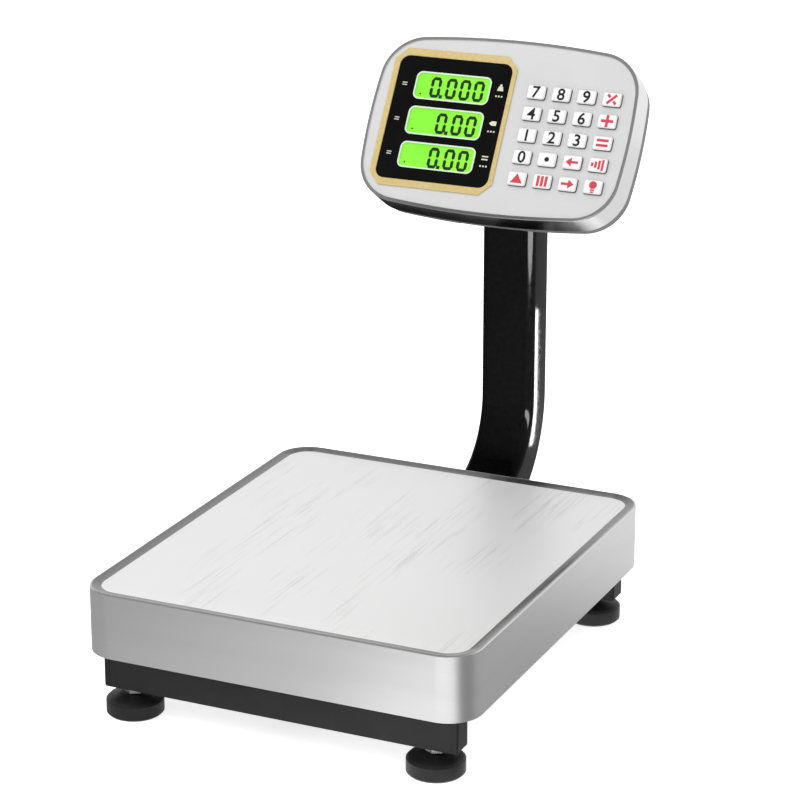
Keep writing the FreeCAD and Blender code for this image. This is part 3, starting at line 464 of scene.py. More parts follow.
# %% Paint, plastic and rubber finishes
def powder_coat():
    """Satin black powder coat with orange peel."""
    f = Finish("powder_coat").set(Specular_IOR_Level=0.3)
    peel = f.noise(1400, 3)
    f.tint(f.noise(30, 3), grey(0.020), grey(0.027))
    f.rough(peel, 0.36, 0.50)
    f.bump(peel, 0.00003, 0.6)
    return f.material


def gloss_lacquer():
    """Deep black lacquer with a few settled dust marks."""
    f = Finish("gloss_lacquer").set(Specular_IOR_Level=0.03)
    dust = f.noise(220, 5, roughness=0.65)
    f.rough(dust, 0.05, 0.14, (0.35, 0.8))
    f.tint(dust, grey(0.0008), grey(0.0014))
    return f.material


def moulded(name, color, roughness, depth=0.00003, cloudiness=0.05):
    """A moulding with spark-eroded texture and a very slight cloudiness."""
    f = Finish(name)
    texture = f.noise(1800, 3)
    dark = tuple(c * (1 - cloudiness) for c in color)
    light = tuple(c * (1 + cloudiness) for c in color)
    f.tint(f.noise(25, 2), dark, light)
    f.rough(texture, roughness - 0.06, roughness + 0.06)
    f.bump(texture, depth, 0.5)
    return f.material


BAND_LOW, BAND_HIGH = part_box("trim_band")
DARK_REFLECTION_HEIGHT = (0.05, 0.16)    # the painted dark reflection fades out at these parts of the band's height
DARK_REFLECTION_REACH = (0.45, 0.85)     # and at these parts of its right half


def satin_plating():
    """The plated band: bright metal with a painted dark reflection along its lower run."""
    f = Finish("satin_plating", 1.0)
    place = f.node("SeparateXYZ", Vector=f.coords())
    levels = tuple(BAND_LOW.z + part * (BAND_HIGH.z - BAND_LOW.z) for part in DARK_REFLECTION_HEIGHT)
    reaches = tuple(part * BAND_HIGH.x for part in DARK_REFLECTION_REACH)
    below = f.spread(place.outputs["Z"], 1, 0, levels)
    leftwards = f.spread(place.outputs["X"], 1, 0, reaches)
    # The dark colour on the lower run is a painted reflection of a dark room below the band, fading out towards
    # the right.
    f.tint(f.product(below, leftwards), grey(0.78), grey(0.045), (0.0, 1.0))
    f.rough(f.noise(60, 2), 0.17, 0.23)
    return f.material


def gold_foil():
    """Hot-stamped gold foil, a little uneven."""
    f = Finish("gold_foil", 0.30)
    mottle = f.noise(350, 4)
    f.tint(mottle, (0.70, 0.54, 0.22), (0.77, 0.61, 0.28))
    f.rough(mottle, 0.28, 0.42)
    f.bump(mottle, 0.00002, 0.6)
    return f.material


def window_gloss():
    """The black printed window, with faint wipe marks in its gloss."""
    f = Finish("window_gloss").set(Specular_IOR_Level=0.12)
    wipe = f.noise(60, 4, stretch=(1, 0.3, 0.3), turn=(0, 0, 0.5))
    f.rough(wipe, 0.07, 0.16)
    f.tint(wipe, grey(0.003), grey(0.005))
    return f.material


def lit_display():
    """A green backlit panel whose glow is a little uneven."""
    f = Finish("lit_display").set(Roughness=0.22, Emission_Strength=0.48)
    glow = f.noise(18, 2)
    f.tint(glow, (0.10, 0.48, 0.02), (0.18, 0.60, 0.03))
    f.tint(glow, (0.20, 0.78, 0.02), (0.30, 0.88, 0.04), socket="Emission Color")
    return f.material


def printed(name, color, roughness=0.45):
    """Printing ink: flat, with slightly uneven coverage."""
    f = Finish(name)
    cover = f.noise(1500, 3)
    f.tint(cover, tuple(c * 0.86 for c in color), color)
    f.rough(cover, roughness - 0.05, roughness + 0.08)
    return f.material


def rubber(name, shade):
    """Moulded rubber: dark, with a soft sheen and dust in its pores."""
    f = Finish(name)
    pores = f.noise(1100, 4)
    f.tint(f.noise(90, 4), grey(shade * 0.8), grey(shade * 1.5))
    f.rough(pores, 0.38, 0.60)
    f.bump(pores, 0.00004, 0.7)
    return f.material


FINISH = {
    "stainless": plate_steel(),
    "frame_paint": powder_coat(),
    "cap_plastic": moulded("cap_plastic", grey(0.008), 0.5),
    "zinc_steel": zinc_steel(),
    "cell_aluminium": machined_aluminium(),
    "pad_rubber": rubber("pad_rubber", 0.03),
    "foot_rubber": rubber("foot_rubber", 0.009),
    "column_gloss": gloss_lacquer(),
    "knuckle_plastic": moulded("knuckle_plastic", grey(0.02), 0.4),
    "face_plastic": moulded("face_plastic", grey(0.62), 0.36, depth=0.00001, cloudiness=0.02),
    "bright_band": satin_plating(),
    "rear_plastic": moulded("rear_plastic", (0.20, 0.20, 0.205), 0.42),
    "gold_trim": gold_foil(),
    "window_black": window_gloss(),
    "display_green": lit_display(),
    "key_silver": moulded("key_silver", grey(0.86), 0.34, depth=0.00001, cloudiness=0.02),
    "mat_silicone": rubber("mat_silicone", 0.5),
    "board_green": moulded("board_green", (0.02, 0.16, 0.05), 0.35),
    "battery_wrap": moulded("battery_wrap", (0.03, 0.10, 0.35), 0.3),
    "switch_black": moulded("switch_black", grey(0.015), 0.22),
    "socket_black": moulded("socket_black", grey(0.02), 0.4),
}
for node, obj in frame["nodes"].items():
    obj.data.materials.clear()
    obj.data.materials.append(FINISH[SLOT_OF[node]])
print("finishes:", len(FINISH))


# %% [markdown]
# ## Smooth copies of curved pieces
# The CAD surfaces arrive as loose triangles, each with its own corners, so a rounded edge
# would show flat facets in its reflections. A copy has its corners merged, its true edges
# marked sharp by angle, and its normals weighted by area, so flats stay flat and rounds
# look round. The copy stands for the node, at exactly the same size.

# %% Smooth copies
WELD = 0.02 * MM
SHARP_ANGLE = math.radians(32)


def finish_piece(obj, body, slot, *nodes):
    """Hangs a piece on the body it rides on and hides the nodes it stands for; the slot is not used."""
    if nodes:
        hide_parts(*nodes)
    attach(obj, body)
    return obj


def smooth_copy(node):
    """A merged copy of a CAD node with smooth rounds and crisp edges."""
    mesh = frame["nodes"][node].data.copy()
    mesh.name = node + "_surface"
    work = bmesh.new()
    work.from_mesh(mesh)
    bmesh.ops.remove_doubles(work, verts=work.verts, dist=WELD)
    bmesh.ops.dissolve_degenerate(work, edges=work.edges, dist=WELD / 4)
    work.to_mesh(mesh)
    work.free()
    if "custom_normal" in mesh.attributes:
        mesh.attributes.remove(mesh.attributes["custom_normal"])
    mesh.shade_smooth()
    mesh.set_sharp_from_angle(angle=SHARP_ANGLE)
    obj = bpy.data.objects.new(node + "_surface", mesh)
    bpy.context.scene.collection.objects.link(obj)
    weighted = obj.modifiers.new("weighted normals", "WEIGHTED_NORMAL")
    weighted.keep_sharp = True
    weighted.weight = 100
    return finish_piece(obj, BODY_OF[node], SLOT_OF[node], node)


SHADED_WALL_LEAN = 0.5             # faces leaning less than this take the dark wall grey, a painted shade along the key edges
SMOOTH_NODES = ["trim_band", "front_housing", "rear_housing", "tilt_knuckle", "clamp_knob", "beam_end_caps",
                "power_rocker", "display_frame"]
SMOOTH_NODES += [node for node in frame["nodes"] if node.startswith(("foot_front", "foot_rear", "key_"))]
SHADED_KEY_WALL = moulded("key_wall", grey(0.10), 0.4)
for node in SMOOTH_NODES:
    piece = smooth_copy(node)
    # The key walls' dark grey is painted shade: it stands for the shade along the edges of the raised caps.
    if node.startswith("key_"):
        piece.data.materials.append(SHADED_KEY_WALL)
        for face in piece.data.polygons:
            face.material_index = int(face.normal.dot(FACE_NORMAL) < SHADED_WALL_LEAN)
print("smooth copies:", len(SMOOTH_NODES))

# %% [markdown]
# The pan's copy has three finishes on one sheet. Each face takes its own from the way it
# looks: level faces are the plate, upright ones the skirt, and the few between are the rim.

# %% The pan's three finishes
RIM_DEPTH = 2.5 * MM
RIM_LEAN = (0.95, 0.9995)       # the sloping border leans a little; the plate is level


def dress_pan():
    """The pan, with plate, skirt and rim finishes chosen by each face's slope and height."""
    pan = smooth_copy("weighing_pan")
    for material in (skirt_steel(), rim_steel()):
        pan.data.materials.append(material)
    plate, skirt, rim = 0, 1, 2
    for face in pan.data.polygons:
        lift = face.normal.z
        if face.center.z < PAN_HIGH.z - RIM_DEPTH or lift < RIM_LEAN[0]:
            face.material_index = skirt
        elif lift < RIM_LEAN[1]:
            face.material_index = rim
        else:
            face.material_index = plate


dress_pan()


# %% [markdown]
# ## The column, swept by Geometry Nodes
# The column is one rounded rectangle carried along one line: straight down, round a bend
# and straight again. That rule is a node tree: a poly line whose one corner is filleted, and
# a profile swept along it. Its even quads give lacquer the clean reflections it needs.

# %% Node tree helpers
def new_tree(name, sockets):
    """A geometry node tree with named inputs. Gives the tree and its two ends."""
    tree = bpy.data.node_groups.new(name, "GeometryNodeTree")
    tree.interface.new_socket("Geometry", in_out="OUTPUT", socket_type="NodeSocketGeometry")
    tree.interface.new_socket("Geometry", in_out="INPUT", socket_type="NodeSocketGeometry")
    for label, kind in sockets:
        tree.interface.new_socket(label, in_out="INPUT", socket_type="NodeSocket" + kind)
    return tree, tree.nodes.new("NodeGroupInput"), tree.nodes.new("NodeGroupOutput")


def add_node(tree, kind, mode=None, **inputs):
    """A geometry node with its mode and its inputs set or linked."""
    node = tree.nodes.new(kind)
    if mode:
        node.mode = mode
    for name, value in inputs.items():
        socket = node.inputs[name.replace("_", " ")]
        if isinstance(value, bpy.types.NodeSocket):
            tree.links.new(value, socket)
        else:
            socket.default_value = value
    return node


def run_tree(obj, tree, **values):
    """Runs a tree on an object once and leaves its result as a plain mesh."""
    modifier = obj.modifiers.new(tree.name, "NODES")
    modifier.node_group = tree
    ids = {item.name: item.identifier for item in tree.interface.items_tree if item.in_out == "INPUT"}
    for name, value in values.items():
        modifier[ids[name.replace("_", " ")]] = value
    bpy.context.view_layer.update()
    evaluated = obj.evaluated_get(bpy.context.evaluated_depsgraph_get())
    mesh = bpy.data.meshes.new_from_object(evaluated)
    obj.modifiers.remove(modifier)
    mesh.name = obj.name
    result = bpy.data.objects.new(obj.name, mesh)
    bpy.context.scene.collection.objects.link(result)
    bpy.data.objects.remove(obj)
    return result


def close_tree(tree, geometry, material, out):
    """Ends a tree in Realize Instances and Set Material."""
    real = add_node(tree, "GeometryNodeRealizeInstances", Geometry=geometry)
    painted = add_node(tree, "GeometryNodeSetMaterial", Geometry=real.outputs[0], Material=material)
    tree.links.new(painted.outputs[0], out.inputs[0])


# %% The column
BEND_RADIUS = 75 * MM
TUBE_CORNER = 6.5 * MM
BEND_STEPS = 48
CORNER_STEPS = 14


def column_tree():
    """A rounded rectangle swept along a line with one filleted corner."""
    tree, source, out = new_tree("swept_tube", (("Width", "Float"), ("Depth", "Float"), ("Corner", "Float"),
                                                ("Bend", "Float"), ("Finish", "Material")))
    line = add_node(tree, "GeometryNodeMeshToCurve", Mesh=source.outputs["Geometry"])
    bent = add_node(tree, "GeometryNodeFilletCurve", "POLY", Curve=line.outputs[0],
                    Radius=source.outputs["Bend"], Count=BEND_STEPS)
    box = add_node(tree, "GeometryNodeCurvePrimitiveQuadrilateral", Width=source.outputs["Width"],
                   Height=source.outputs["Depth"])
    section = add_node(tree, "GeometryNodeFilletCurve", "POLY", Curve=box.outputs[0],
                       Radius=source.outputs["Corner"], Count=CORNER_STEPS)
    swept = add_node(tree, "GeometryNodeCurveToMesh", Curve=bent.outputs[0], Profile_Curve=section.outputs[0],
                     Fill_Caps=True)
    smooth = add_node(tree, "GeometryNodeSetShadeSmooth", Geometry=swept.outputs[0])
    close_tree(tree, smooth.outputs[0], source.outputs["Finish"], out)
    return tree


def make_column():
    """The lacquered tube, in the CAD tube's place and size."""
    low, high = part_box("column_tube")
    # The upright part alone gives the tube's depth; the tail gives its height
    upright = [v.co.y for v in frame["nodes"]["column_tube"].data.vertices if v.co.z > high.z - MM]
    depth = max(upright) - min(upright)
    centre_y = max(upright) - depth / 2
    tail_z = low.z + depth / 2
    corners = [(0, centre_y, high.z), (0, centre_y, tail_z), (0, low.y, tail_z)]
    path = plain_mesh("column_lacquer", corners, [], [(0, 1), (1, 2)])
    column = run_tree(path, column_tree(), Width=high.x - low.x, Depth=depth, Corner=TUBE_CORNER,
                      Bend=BEND_RADIUS, Finish=FINISH["column_gloss"])
    column.data.set_sharp_from_angle(angle=math.radians(60))
    return finish_piece(column, "column", "column_gloss", "column_tube")


column = make_column()


def column_light(name, place, target, size, power):
    """A light for the column alone, seen in its lacquer as a soft streak."""
    light = area_light(name, place, target, size, power)
    lit = bpy.data.collections.new(name + "_lit")
    lit.objects.link(column)
    light.light_linking.receiver_collection = lit


column_light("corner_streak", (0.42, -0.22, 0.13), (0.02, 0.19, 0.30), (0.8, 0.12), 36)
column_light("side_streak", (0.1265, 0.427, 0.066), (0.022, 0.2, 0.15), (0.010, 0.12), 0.20)
print("column:", len(column.data.polygons), "faces", [round(c, 4) for c in column.dimensions])

# %% [markdown]
# ## Lit digits
# A display segment is a bar with pointed ends, and a digit is some of seven of them. A table
# says which ones are lit, points mark their places, and a node tree puts one bar on each
# point, turned upright where the point says so.

# %% Digits
SEGMENTS = {"0": "abcdef", "1": "bc", "2": "abged", "3": "abgcd", "4": "fgbc",
            "5": "afgcd", "6": "afgedc", "7": "abc", "8": "abcdefg", "9": "abcdfg"}
SEGMENT_PLACE = {"a": (0, 1, 0), "g": (0, 0, 0), "d": (0, -1, 0), "b": (1, 0.5, 1), "c": (1, -0.5, 1),
                 "f": (-1, 0.5, 1), "e": (-1, -0.5, 1)}


def shape_mesh(name, outlines, thickness):
    """A plate of the given thickness for each flat outline, seen from +Z."""
    work = bmesh.new()
    for outline in outlines:
        bottom = [work.verts.new((x, y, 0)) for x, y in outline]
        top = [work.verts.new((x, y, thickness)) for x, y in outline]
        work.faces.new(top)
        work.faces.new(bottom[::-1])
        for i in range(len(outline)):
            j = (i + 1) % len(outline)
            work.faces.new((bottom[i], bottom[j], top[j], top[i]))
    bmesh.ops.recalc_face_normals(work, faces=work.faces)
    mesh = bpy.data.meshes.new(name)
    work.to_mesh(mesh)
    work.free()
    return mesh


def bar_outline(length, width):
    """A bar with pointed ends, along X."""
    l, w = length / 2, width / 2
    return [(-l, 0), (w - l, -w), (l - w, -w), (l, 0), (l - w, w), (w - l, w)]


def segment_tree():
    """Puts the bar on every point, turned by the point's own angle."""
    tree, source, out = new_tree("lit_segments", (("Bar", "Object"), ("Finish", "Material")))
    bar = add_node(tree, "GeometryNodeObjectInfo", Object=source.outputs["Bar"])
    angle = add_node(tree, "GeometryNodeInputNamedAttribute", Name="turn")
    spin = add_node(tree, "ShaderNodeCombineXYZ", Z=angle.outputs["Attribute"])
    points = add_node(tree, "GeometryNodeInstanceOnPoints", Points=source.outputs["Geometry"],
                      Instance=bar.outputs["Geometry"], Rotation=spin.outputs[0])
    close_tree(tree, points.outputs[0], source.outputs["Finish"], out)
    return tree


SEGMENT_TREE = segment_tree()
INK_DARK = printed("segment_ink", (0.010, 0.035, 0.008), 0.3)


DIGIT_WIDTH = 0.52             # this and the next three are shares of a digit's height
STROKE = 0.150
DIGIT_GAP = 0.16
POINT_GAP = 0.10
BAR_GAP = 0.12                 # a share of the stroke, as is half a point's width
POINT_HALF = 0.55
DIGIT_T = 0.1 * MM


def lit_number(name, text, right, middle, height, n, flip=1):
    """A number in seven-segment digits that ends at right, drawn on the head."""
    width, thick = height * DIGIT_WIDTH, height * STROKE
    half_w, half_h = width / 2 - thick / 2, height / 2 - thick / 2
    gap, dot_gap = height * DIGIT_GAP, height * POINT_GAP
    x, points, turns, dots = right, [], [], []
    for character in reversed(text):
        if character == ".":
            x -= dot_gap
            dots.append((x + dot_gap / 2 + gap * 0.1, middle - height / 2 + thick / 2))
            continue
        centre = x - width / 2
        for letter in SEGMENTS[character]:
            side, level, upright = SEGMENT_PLACE[letter]
            points.append((centre + side * half_w, middle + level * half_h, 0))
            turns.append(math.pi / 2 * upright)
        x -= width + gap
    marks = plain_mesh(name, points, [])
    marks.data.attributes.new("turn", "FLOAT", "POINT").data.foreach_set("value", turns)
    outline = bar_outline(half_h - thick * BAR_GAP, thick)
    bar = bpy.data.objects.new("bar", shape_mesh("bar", [outline], DIGIT_T))
    digits = run_tree(marks, SEGMENT_TREE, Bar=bar, Finish=INK_DARK)
    bpy.data.objects.remove(bar)
    half = thick * POINT_HALF
    squares = [[(dx - half, dy - half), (dx + half, dy - half), (dx + half, dy + half),
                (dx - half, dy + half)] for dx, dy in dots]
    work = bmesh.new()
    work.from_mesh(digits.data)
    work.from_mesh(shape_mesh("points", squares, DIGIT_T))
    work.to_mesh(digits.data)
    work.free()
    digits.data.materials.clear()
    digits.data.materials.append(INK_DARK)
    digits.data.polygons.foreach_set("material_index", [0] * len(digits.data.polygons))
    digits.data.transform(face_place(0, 0, n, flip))
    finish_piece(digits, "head", "display_green")


DISPLAYS = (("weight_display", "0.000"), ("unit_price_display", "0.00"), ("total_price_display", "0.00"))
DIGIT_HEIGHT = 17.0 * MM
DIGIT_MARGIN = 7.5 * MM        # from the last digit to the right edge of its panel
DIGIT_DROP = 0.6 * MM          # how far the digits stand below its middle
DIGIT_LIFT = 0.02 * MM
for node, number in DISPLAYS:
    x, v, n = face_box(node)
    lit_number(node + "_digits", number, x[1] - DIGIT_MARGIN, (v[0] + v[1]) / 2 - DIGIT_DROP,
               DIGIT_HEIGHT, n[1] + DIGIT_LIFT)
print("digits drawn on", len(DISPLAYS), "displays")

# %% [markdown]
# ## Surrounds of the displays
# Each display has a thin pale line around it, printed on the edge of its opening, and a
# small pointer at its lower left. The line is a flat ring between two rounded rectangles,
# whose corners are arcs of points.

# %% Outlines from arcs
def rounded_outline(x, v, radius, steps=8):
    """Points round a rounded rectangle, anticlockwise."""
    points = []
    for cx, cy, start in ((x[1] - radius, v[1] - radius, 0), (x[0] + radius, v[1] - radius, 90),
                          (x[0] + radius, v[0] + radius, 180), (x[1] - radius, v[0] + radius, 270)):
        for i in range(steps + 1):
            angle = math.radians(start + 90 * i / steps)
            points.append((cx + radius * math.cos(angle), cy + radius * math.sin(angle)))
    return points


def ring_mesh(name, outer, inner, thickness):
    """A flat ring between two outlines with the same number of points."""
    count = len(outer)
    points = [(x, y, z) for z in (0, thickness) for ring in (outer, inner) for x, y in ring]
    faces = []
    for i in range(count):
        j = (i + 1) % count
        faces += [(i, i + count, j + count, j), (i + 2 * count, j + 2 * count, j + 3 * count, i + 3 * count),
                  (i, j, j + 2 * count, i + 2 * count), (i + count, i + 3 * count, j + 3 * count, j + count)]
    mesh = bpy.data.meshes.new(name)
    mesh.from_pydata(points, [], faces)
    work = bmesh.new()
    work.from_mesh(mesh)
    bmesh.ops.recalc_face_normals(work, faces=work.faces)
    work.to_mesh(mesh)
    work.free()
    return mesh


def place_mesh(mesh, material, matrix, body, slot):
    """A mesh set in place by a matrix, with one finish, riding on a body."""
    mesh.materials.clear()
    mesh.materials.append(material)
    mesh.transform(matrix)
    obj = bpy.data.objects.new(mesh.name, mesh)
    bpy.context.scene.collection.objects.link(obj)
    return finish_piece(obj, body, slot)


# %% Surrounds and pointers
INK_CREAM = printed("cream_ink", (0.72, 0.70, 0.58))
INK_PALE = printed("pale_ink", (0.74, 0.86, 0.70))
OPENING_R = 5.0 * MM
LCD_LAP = 2.0 * MM
LINE_W = 1.1 * MM
LINE_T = 1.25 * MM
MARK_T = 0.12 * MM             # the thickness of printed marks
POINTER_PLACE = (3.4 * MM, 3.6 * MM)
POINTER_L = 1.8 * MM


def surround(node):
    """The pale line round a display and the pointer in its corner."""
    x, v, n = face_box(node)
    x, v = (x[0] + LCD_LAP, x[1] - LCD_LAP), (v[0] + LCD_LAP, v[1] - LCD_LAP)
    inner_x, inner_v = (x[0] + LINE_W, x[1] - LINE_W), (v[0] + LINE_W, v[1] - LINE_W)
    ring = ring_mesh(node + "_line", rounded_outline(x, v, OPENING_R),
                     rounded_outline(inner_x, inner_v, OPENING_R - LINE_W), LINE_T)
    place_mesh(ring, INK_PALE, face_place(0, 0, n[1]), "head", "display_green")
    left, low = inner_x[0] + POINTER_PLACE[0], inner_v[0] + POINTER_PLACE[1]
    tip = [(left, low), (left + POINTER_L, low - POINTER_L / 2), (left + POINTER_L, low + POINTER_L / 2)]
    pointer = shape_mesh(node + "_pointer", [tip], MARK_T)
    place_mesh(pointer, INK_DARK, face_place(0, 0, n[1]), "head", "display_green")


for node, _ in DISPLAYS:
    surround(node)


# %% [markdown]
# ## Marks on the keys
# The digit keys carry digits. The other keys carry plain pictograms in red: a cross, a
# plus, an equals sign, arrows, bars and a lamp, drawn from bars, rings and polygons.

# %% Key marks
INK_BLACK = printed("black_ink", grey(0.012))
INK_RED = printed("red_ink", (0.66, 0.05, 0.08))
KEY_TEXT = {1: "7", 2: "8", 3: "9", 5: "4", 6: "5", 7: "6", 9: "1", 10: "2", 11: "3", 13: "0"}
KEY_COUNT = 20
POINT_KEY = 14
DIGIT_SIZE = 13.0 * MM
DIGIT_WEIGHT = 0.24 * MM
PICTOGRAM_SCALE = 1.25


def turned_bar(cx, cy, length, width, degrees=0):
    """A rectangle of the given length and width, turned about its middle."""
    a = math.radians(degrees)
    half_l, half_w = length / 2, width / 2
    corners = ((-half_l, -half_w), (half_l, -half_w), (half_l, half_w), (-half_l, half_w))
    return [(cx + x * math.cos(a) - y * math.sin(a), cy + x * math.sin(a) + y * math.cos(a))
            for x, y in corners]


def disc(cx, cy, radius, steps=24):
    """A round outline."""
    turns = [2 * math.pi * i / steps for i in range(steps)]
    return [(cx + radius * math.cos(a), cy + radius * math.sin(a)) for a in turns]


def arrow(direction):
    """A bold arrow to the left (-1) or right (1)."""
    d = direction
    outline = [(-4 * d, -0.8), (0.4 * d, -0.8), (0.4 * d, -2.9), (4.2 * d, 0), (0.4 * d, 2.9), (0.4 * d, 0.8),
               (-4 * d, 0.8)]
    return outline if d > 0 else outline[::-1]


PICTOGRAMS = {
    4: [turned_bar(0, 0, 8.2, 1.7, 45), turned_bar(-2.1, 2.1, 2.6, 1.7, -45),
        turned_bar(2.1, -2.1, 2.6, 1.7, -45)],
    8: [turned_bar(0, 0, 8.0, 1.8), turned_bar(0, 2.4, 1.8, 3.0), turned_bar(0, -2.4, 1.8, 3.0)],
    12: [turned_bar(0, 1.6, 7.6, 1.7), turned_bar(0, -1.6, 7.6, 1.7)],
    POINT_KEY: [disc(0, 0, 1.5)],
    15: [arrow(-1)],
    16: [turned_bar(x, 0, 1.5, h) for x, h in ((-3.4, 2.4), (-1.15, 4.0), (1.1, 5.6), (3.35, 7.0))],
    17: [[(-4.0, -2.9), (4.0, -2.9), (0, 3.3)]],
    18: [turned_bar(-2.6, 0, 1.7, 6.6), turned_bar(0, 0, 1.7, 6.6), turned_bar(2.6, 0, 1.7, 6.6)],
    19: [arrow(1)],
    20: [disc(0, 1.1, 2.5), turned_bar(0, -2.1, 2.8, 0.9), turned_bar(0, -3.4, 2.0, 0.9)],
}


def digit_mesh(name, text):
    """A digit as a mesh, centred on the origin."""
    curve = bpy.data.curves.new(name, "FONT")
    curve.body = text
    curve.size = DIGIT_SIZE
    curve.extrude = MARK_T / 2
    curve.offset = DIGIT_WEIGHT
    curve.resolution_u = 6
    holder = bpy.data.objects.new(name, curve)
    bpy.context.scene.collection.objects.link(holder)
    bpy.context.view_layer.update()
    mesh = bpy.data.meshes.new_from_object(holder.evaluated_get(bpy.context.evaluated_depsgraph_get()))
    bpy.data.objects.remove(holder)
    xs, ys = [v.co.x for v in mesh.vertices], [v.co.y for v in mesh.vertices]
    mesh.transform(Matrix.Translation((-(min(xs) + max(xs)) / 2, -(min(ys) + max(ys)) / 2, 0)))
    mesh.name = name
    return mesh


def mark_key(number):
    """The printed mark on one key, which moves with the key."""
    node = "key_%02d" % number
    x, v, n = face_box(node)
    place = face_place((x[0] + x[1]) / 2, (v[0] + v[1]) / 2, n[1])
    name = node + "_mark"
    if number in KEY_TEXT:
        mesh = digit_mesh(name, KEY_TEXT[number])
        material = INK_BLACK
    else:
        scale = PICTOGRAM_SCALE * MM
        outlines = [[(px * scale, py * scale) for px, py in outline] for outline in PICTOGRAMS[number]]
        mesh = shape_mesh(name, outlines, MARK_T)
        material = INK_BLACK if number == POINT_KEY else INK_RED
    place_mesh(mesh, material, place, BODY_OF[node], "key_silver")


for number in range(1, KEY_COUNT + 1):
    mark_key(number)
print("key marks:", KEY_COUNT)

# %% [markdown]
# ## Marks on the window
# Beside each display the real window names what it shows. Here each has a small cream
# pictogram: a weight, a price tag and a sum of two bars, with a row of dots for the unit.

# %% Window marks
WINDOW_MARKS = {
    "weight_display": [[(-2.6, -2.2), (2.6, -2.2), (1.7, 1.4), (-1.7, 1.4)], disc(0, 2.3, 1.0)],
    "unit_price_display": [[(-3, 0), (-1, -1.8), (3, -1.8), (3, 1.8), (-1, 1.8)]],
    "total_price_display": [turned_bar(0, 1.2, 5.2, 1.0), turned_bar(0, -1.2, 5.2, 1.0)],
}
DASHES = [turned_bar(0, 0.9, 4.0, 0.7), turned_bar(0, -0.9, 4.0, 0.7)]
SIGN_RISE = 3.5 * MM           # the pictogram stands this far above its display's middle
SIGN_T = 0.08 * MM
DOT_DROP = 3.2 * MM
DOT_PITCH = 2.4 * MM
DOT_R = 0.75 * MM
window_x, _, window_n = face_box("display_window")


def moved(outlines, dx, dy):
    """Outlines in millimetres made metres and moved."""
    return [[(dx + x * MM, dy + y * MM) for x, y in outline] for outline in outlines]


def window_mark(node):
    """The pictogram and unit dots to the right of a display, and two dashes to its left."""
    x, v, _ = face_box(node)
    right_edge = x[1] - LCD_LAP
    middle, level = (right_edge + window_x[1]) / 2, (v[0] + v[1]) / 2
    outlines = moved(WINDOW_MARKS[node], middle, level + SIGN_RISE)
    outlines += [disc(middle + i * DOT_PITCH, level - DOT_DROP, DOT_R, 12) for i in (-1, 0, 1)]
    outlines += moved(DASHES, (window_x[0] + x[0] + LCD_LAP) / 2, level)
    mesh = shape_mesh(node + "_sign", outlines, SIGN_T)
    place_mesh(mesh, INK_CREAM, face_place(0, 0, window_n[1]), "head", "window_black")


for node, _ in DISPLAYS:
    window_mark(node)

# %% [markdown]
# ## The customer's display
# The back of the head repeats the three values. Its panels are smaller, and each has its
# own digits, drawn by the same function and turned to face backwards.

# %% Rear digits
REAR_VALUES = ("0.00", "0.00", "0.000")
REAR_REACH = 15 * MM           # from a panel's middle to the end of its number
REAR_HEIGHT = 10 * MM


def island_centres(node):
    """The middles of a node's separate solids, in face coordinates, left to right."""
    mesh = frame["nodes"][node].data.copy()
    work = bmesh.new()
    work.from_mesh(mesh)
    bmesh.ops.remove_doubles(work, verts=work.verts, dist=WELD)
    seen, middles = set(), []
    for start in work.verts:
        if start in seen:
            continue
        island, queue = [], [start]
        seen.add(start)
        while queue:
            vertex = queue.pop()
            island.append(vertex.co.copy())
            for edge in vertex.link_edges:
                other = edge.other_vert(vertex)
                if other not in seen:
                    seen.add(other)
                    queue.append(other)
        xs = [co.dot(FACE_RIGHT) for co in island]
        vs = [co.dot(FACE_UP) for co in island]
        middles.append(((min(xs) + max(xs)) / 2, (min(vs) + max(vs)) / 2))
    work.free()
    bpy.data.meshes.remove(mesh)
    return sorted(middles)


rear_n = reach("rear_displays", FACE_NORMAL)[0]
for index, ((x, v), number) in enumerate(zip(island_centres("rear_displays"), REAR_VALUES)):
    name = "rear_digits_%d" % (index + 1)
    lit_number(name, number, REAR_REACH - x, v, REAR_HEIGHT, rear_n - DIGIT_LIFT, -1)
print("rear digits:", len(REAR_VALUES))

# %% [markdown]
# ## Threads on the feet
# The CAD stud is a plain rod. A real one has a rolled thread, seen as fine bright rings in
# the gap above each pad. A node tree stacks the rings at the thread's pitch.

# %% Foot threads
THREAD_PITCH = 1.25 * MM
STUD_RADIUS = 4.0 * MM
RING_STEPS = 28


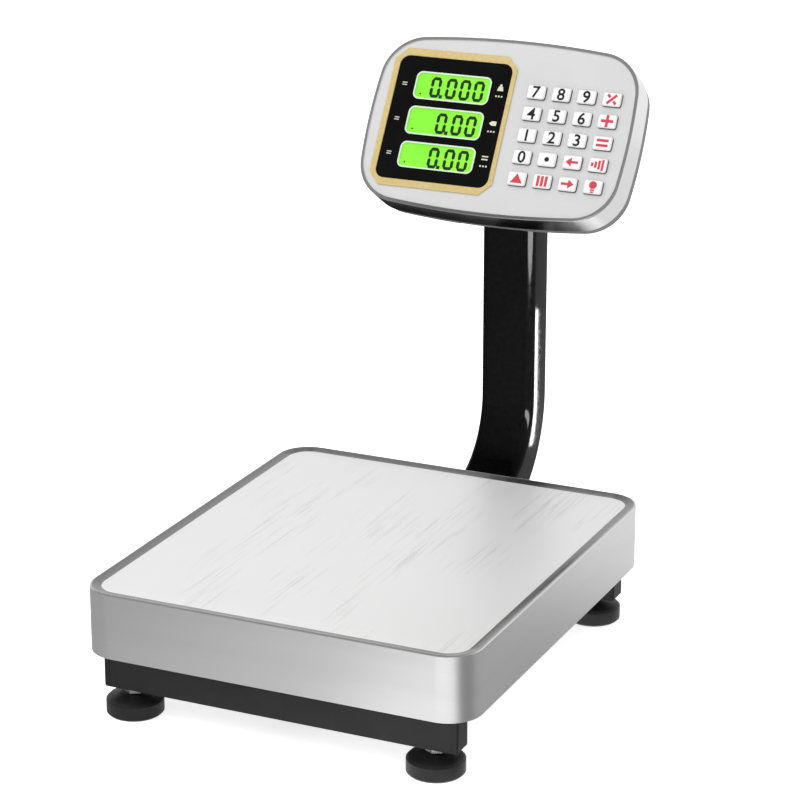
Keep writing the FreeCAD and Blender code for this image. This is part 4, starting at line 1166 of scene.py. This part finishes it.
def thread_tree():
    """Stacks rings along a line of points."""
    tree, source, out = new_tree("stud_thread", (("Ring", "Object"), ("Pitch", "Float"), ("Count", "Int"),
                                                 ("Finish", "Material")))
    offset = add_node(tree, "ShaderNodeCombineXYZ", Z=source.outputs["Pitch"])
    line = add_node(tree, "GeometryNodeMeshLine", Count=source.outputs["Count"], Offset=offset.outputs[0])
    ring = add_node(tree, "GeometryNodeObjectInfo", Object=source.outputs["Ring"])
    stack = add_node(tree, "GeometryNodeInstanceOnPoints", Points=line.outputs[0],
                     Instance=ring.outputs["Geometry"])
    smooth = add_node(tree, "GeometryNodeSetShadeSmooth", Geometry=stack.outputs[0])
    close_tree(tree, smooth.outputs[0], source.outputs["Finish"], out)
    return tree


def ring_object():
    """One turn of the thread: a ring with a three-sided section."""
    major, steps = STUD_RADIUS, RING_STEPS
    section = ((-0.15 * MM, -THREAD_PITCH * 0.42), (0.04 * MM, 0), (-0.15 * MM, THREAD_PITCH * 0.42))
    points, faces = [], []
    for i in range(steps):
        a = 2 * math.pi * i / steps
        points += [((major + r) * math.cos(a), (major + r) * math.sin(a), z) for r, z in section]
    for i in range(steps):
        j = (i + 1) % steps
        for k in range(3):
            m = (k + 1) % 3
            faces.append((3 * i + k, 3 * j + k, 3 * j + m, 3 * i + m))
    return plain_mesh("ring", points, faces)


THREAD_TREE = thread_tree()
FOOT_TOP = 15.0 * MM


def thread(node):
    """The thread of one foot, from the top of its pad to the end of its stud."""
    low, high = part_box(node)
    ring = ring_object()
    count = int((high.z - FOOT_TOP) / THREAD_PITCH)
    seed = plain_mesh(node + "_thread", [(0, 0, 0)], [])
    piece = run_tree(seed, THREAD_TREE, Ring=ring, Pitch=THREAD_PITCH, Count=count,
                     Finish=FINISH["zinc_steel"])
    bpy.data.objects.remove(ring)
    start = ((low.x + high.x) / 2, (low.y + high.y) / 2, FOOT_TOP + THREAD_PITCH / 2)
    piece.data.transform(Matrix.Translation(start))
    finish_piece(piece, BODY_OF[node], "zinc_steel")


FEET = sorted(node for node in frame["nodes"] if node.startswith(("foot_front", "foot_rear")))
for node in FEET:
    thread(node)
print("threads:", len(FEET))
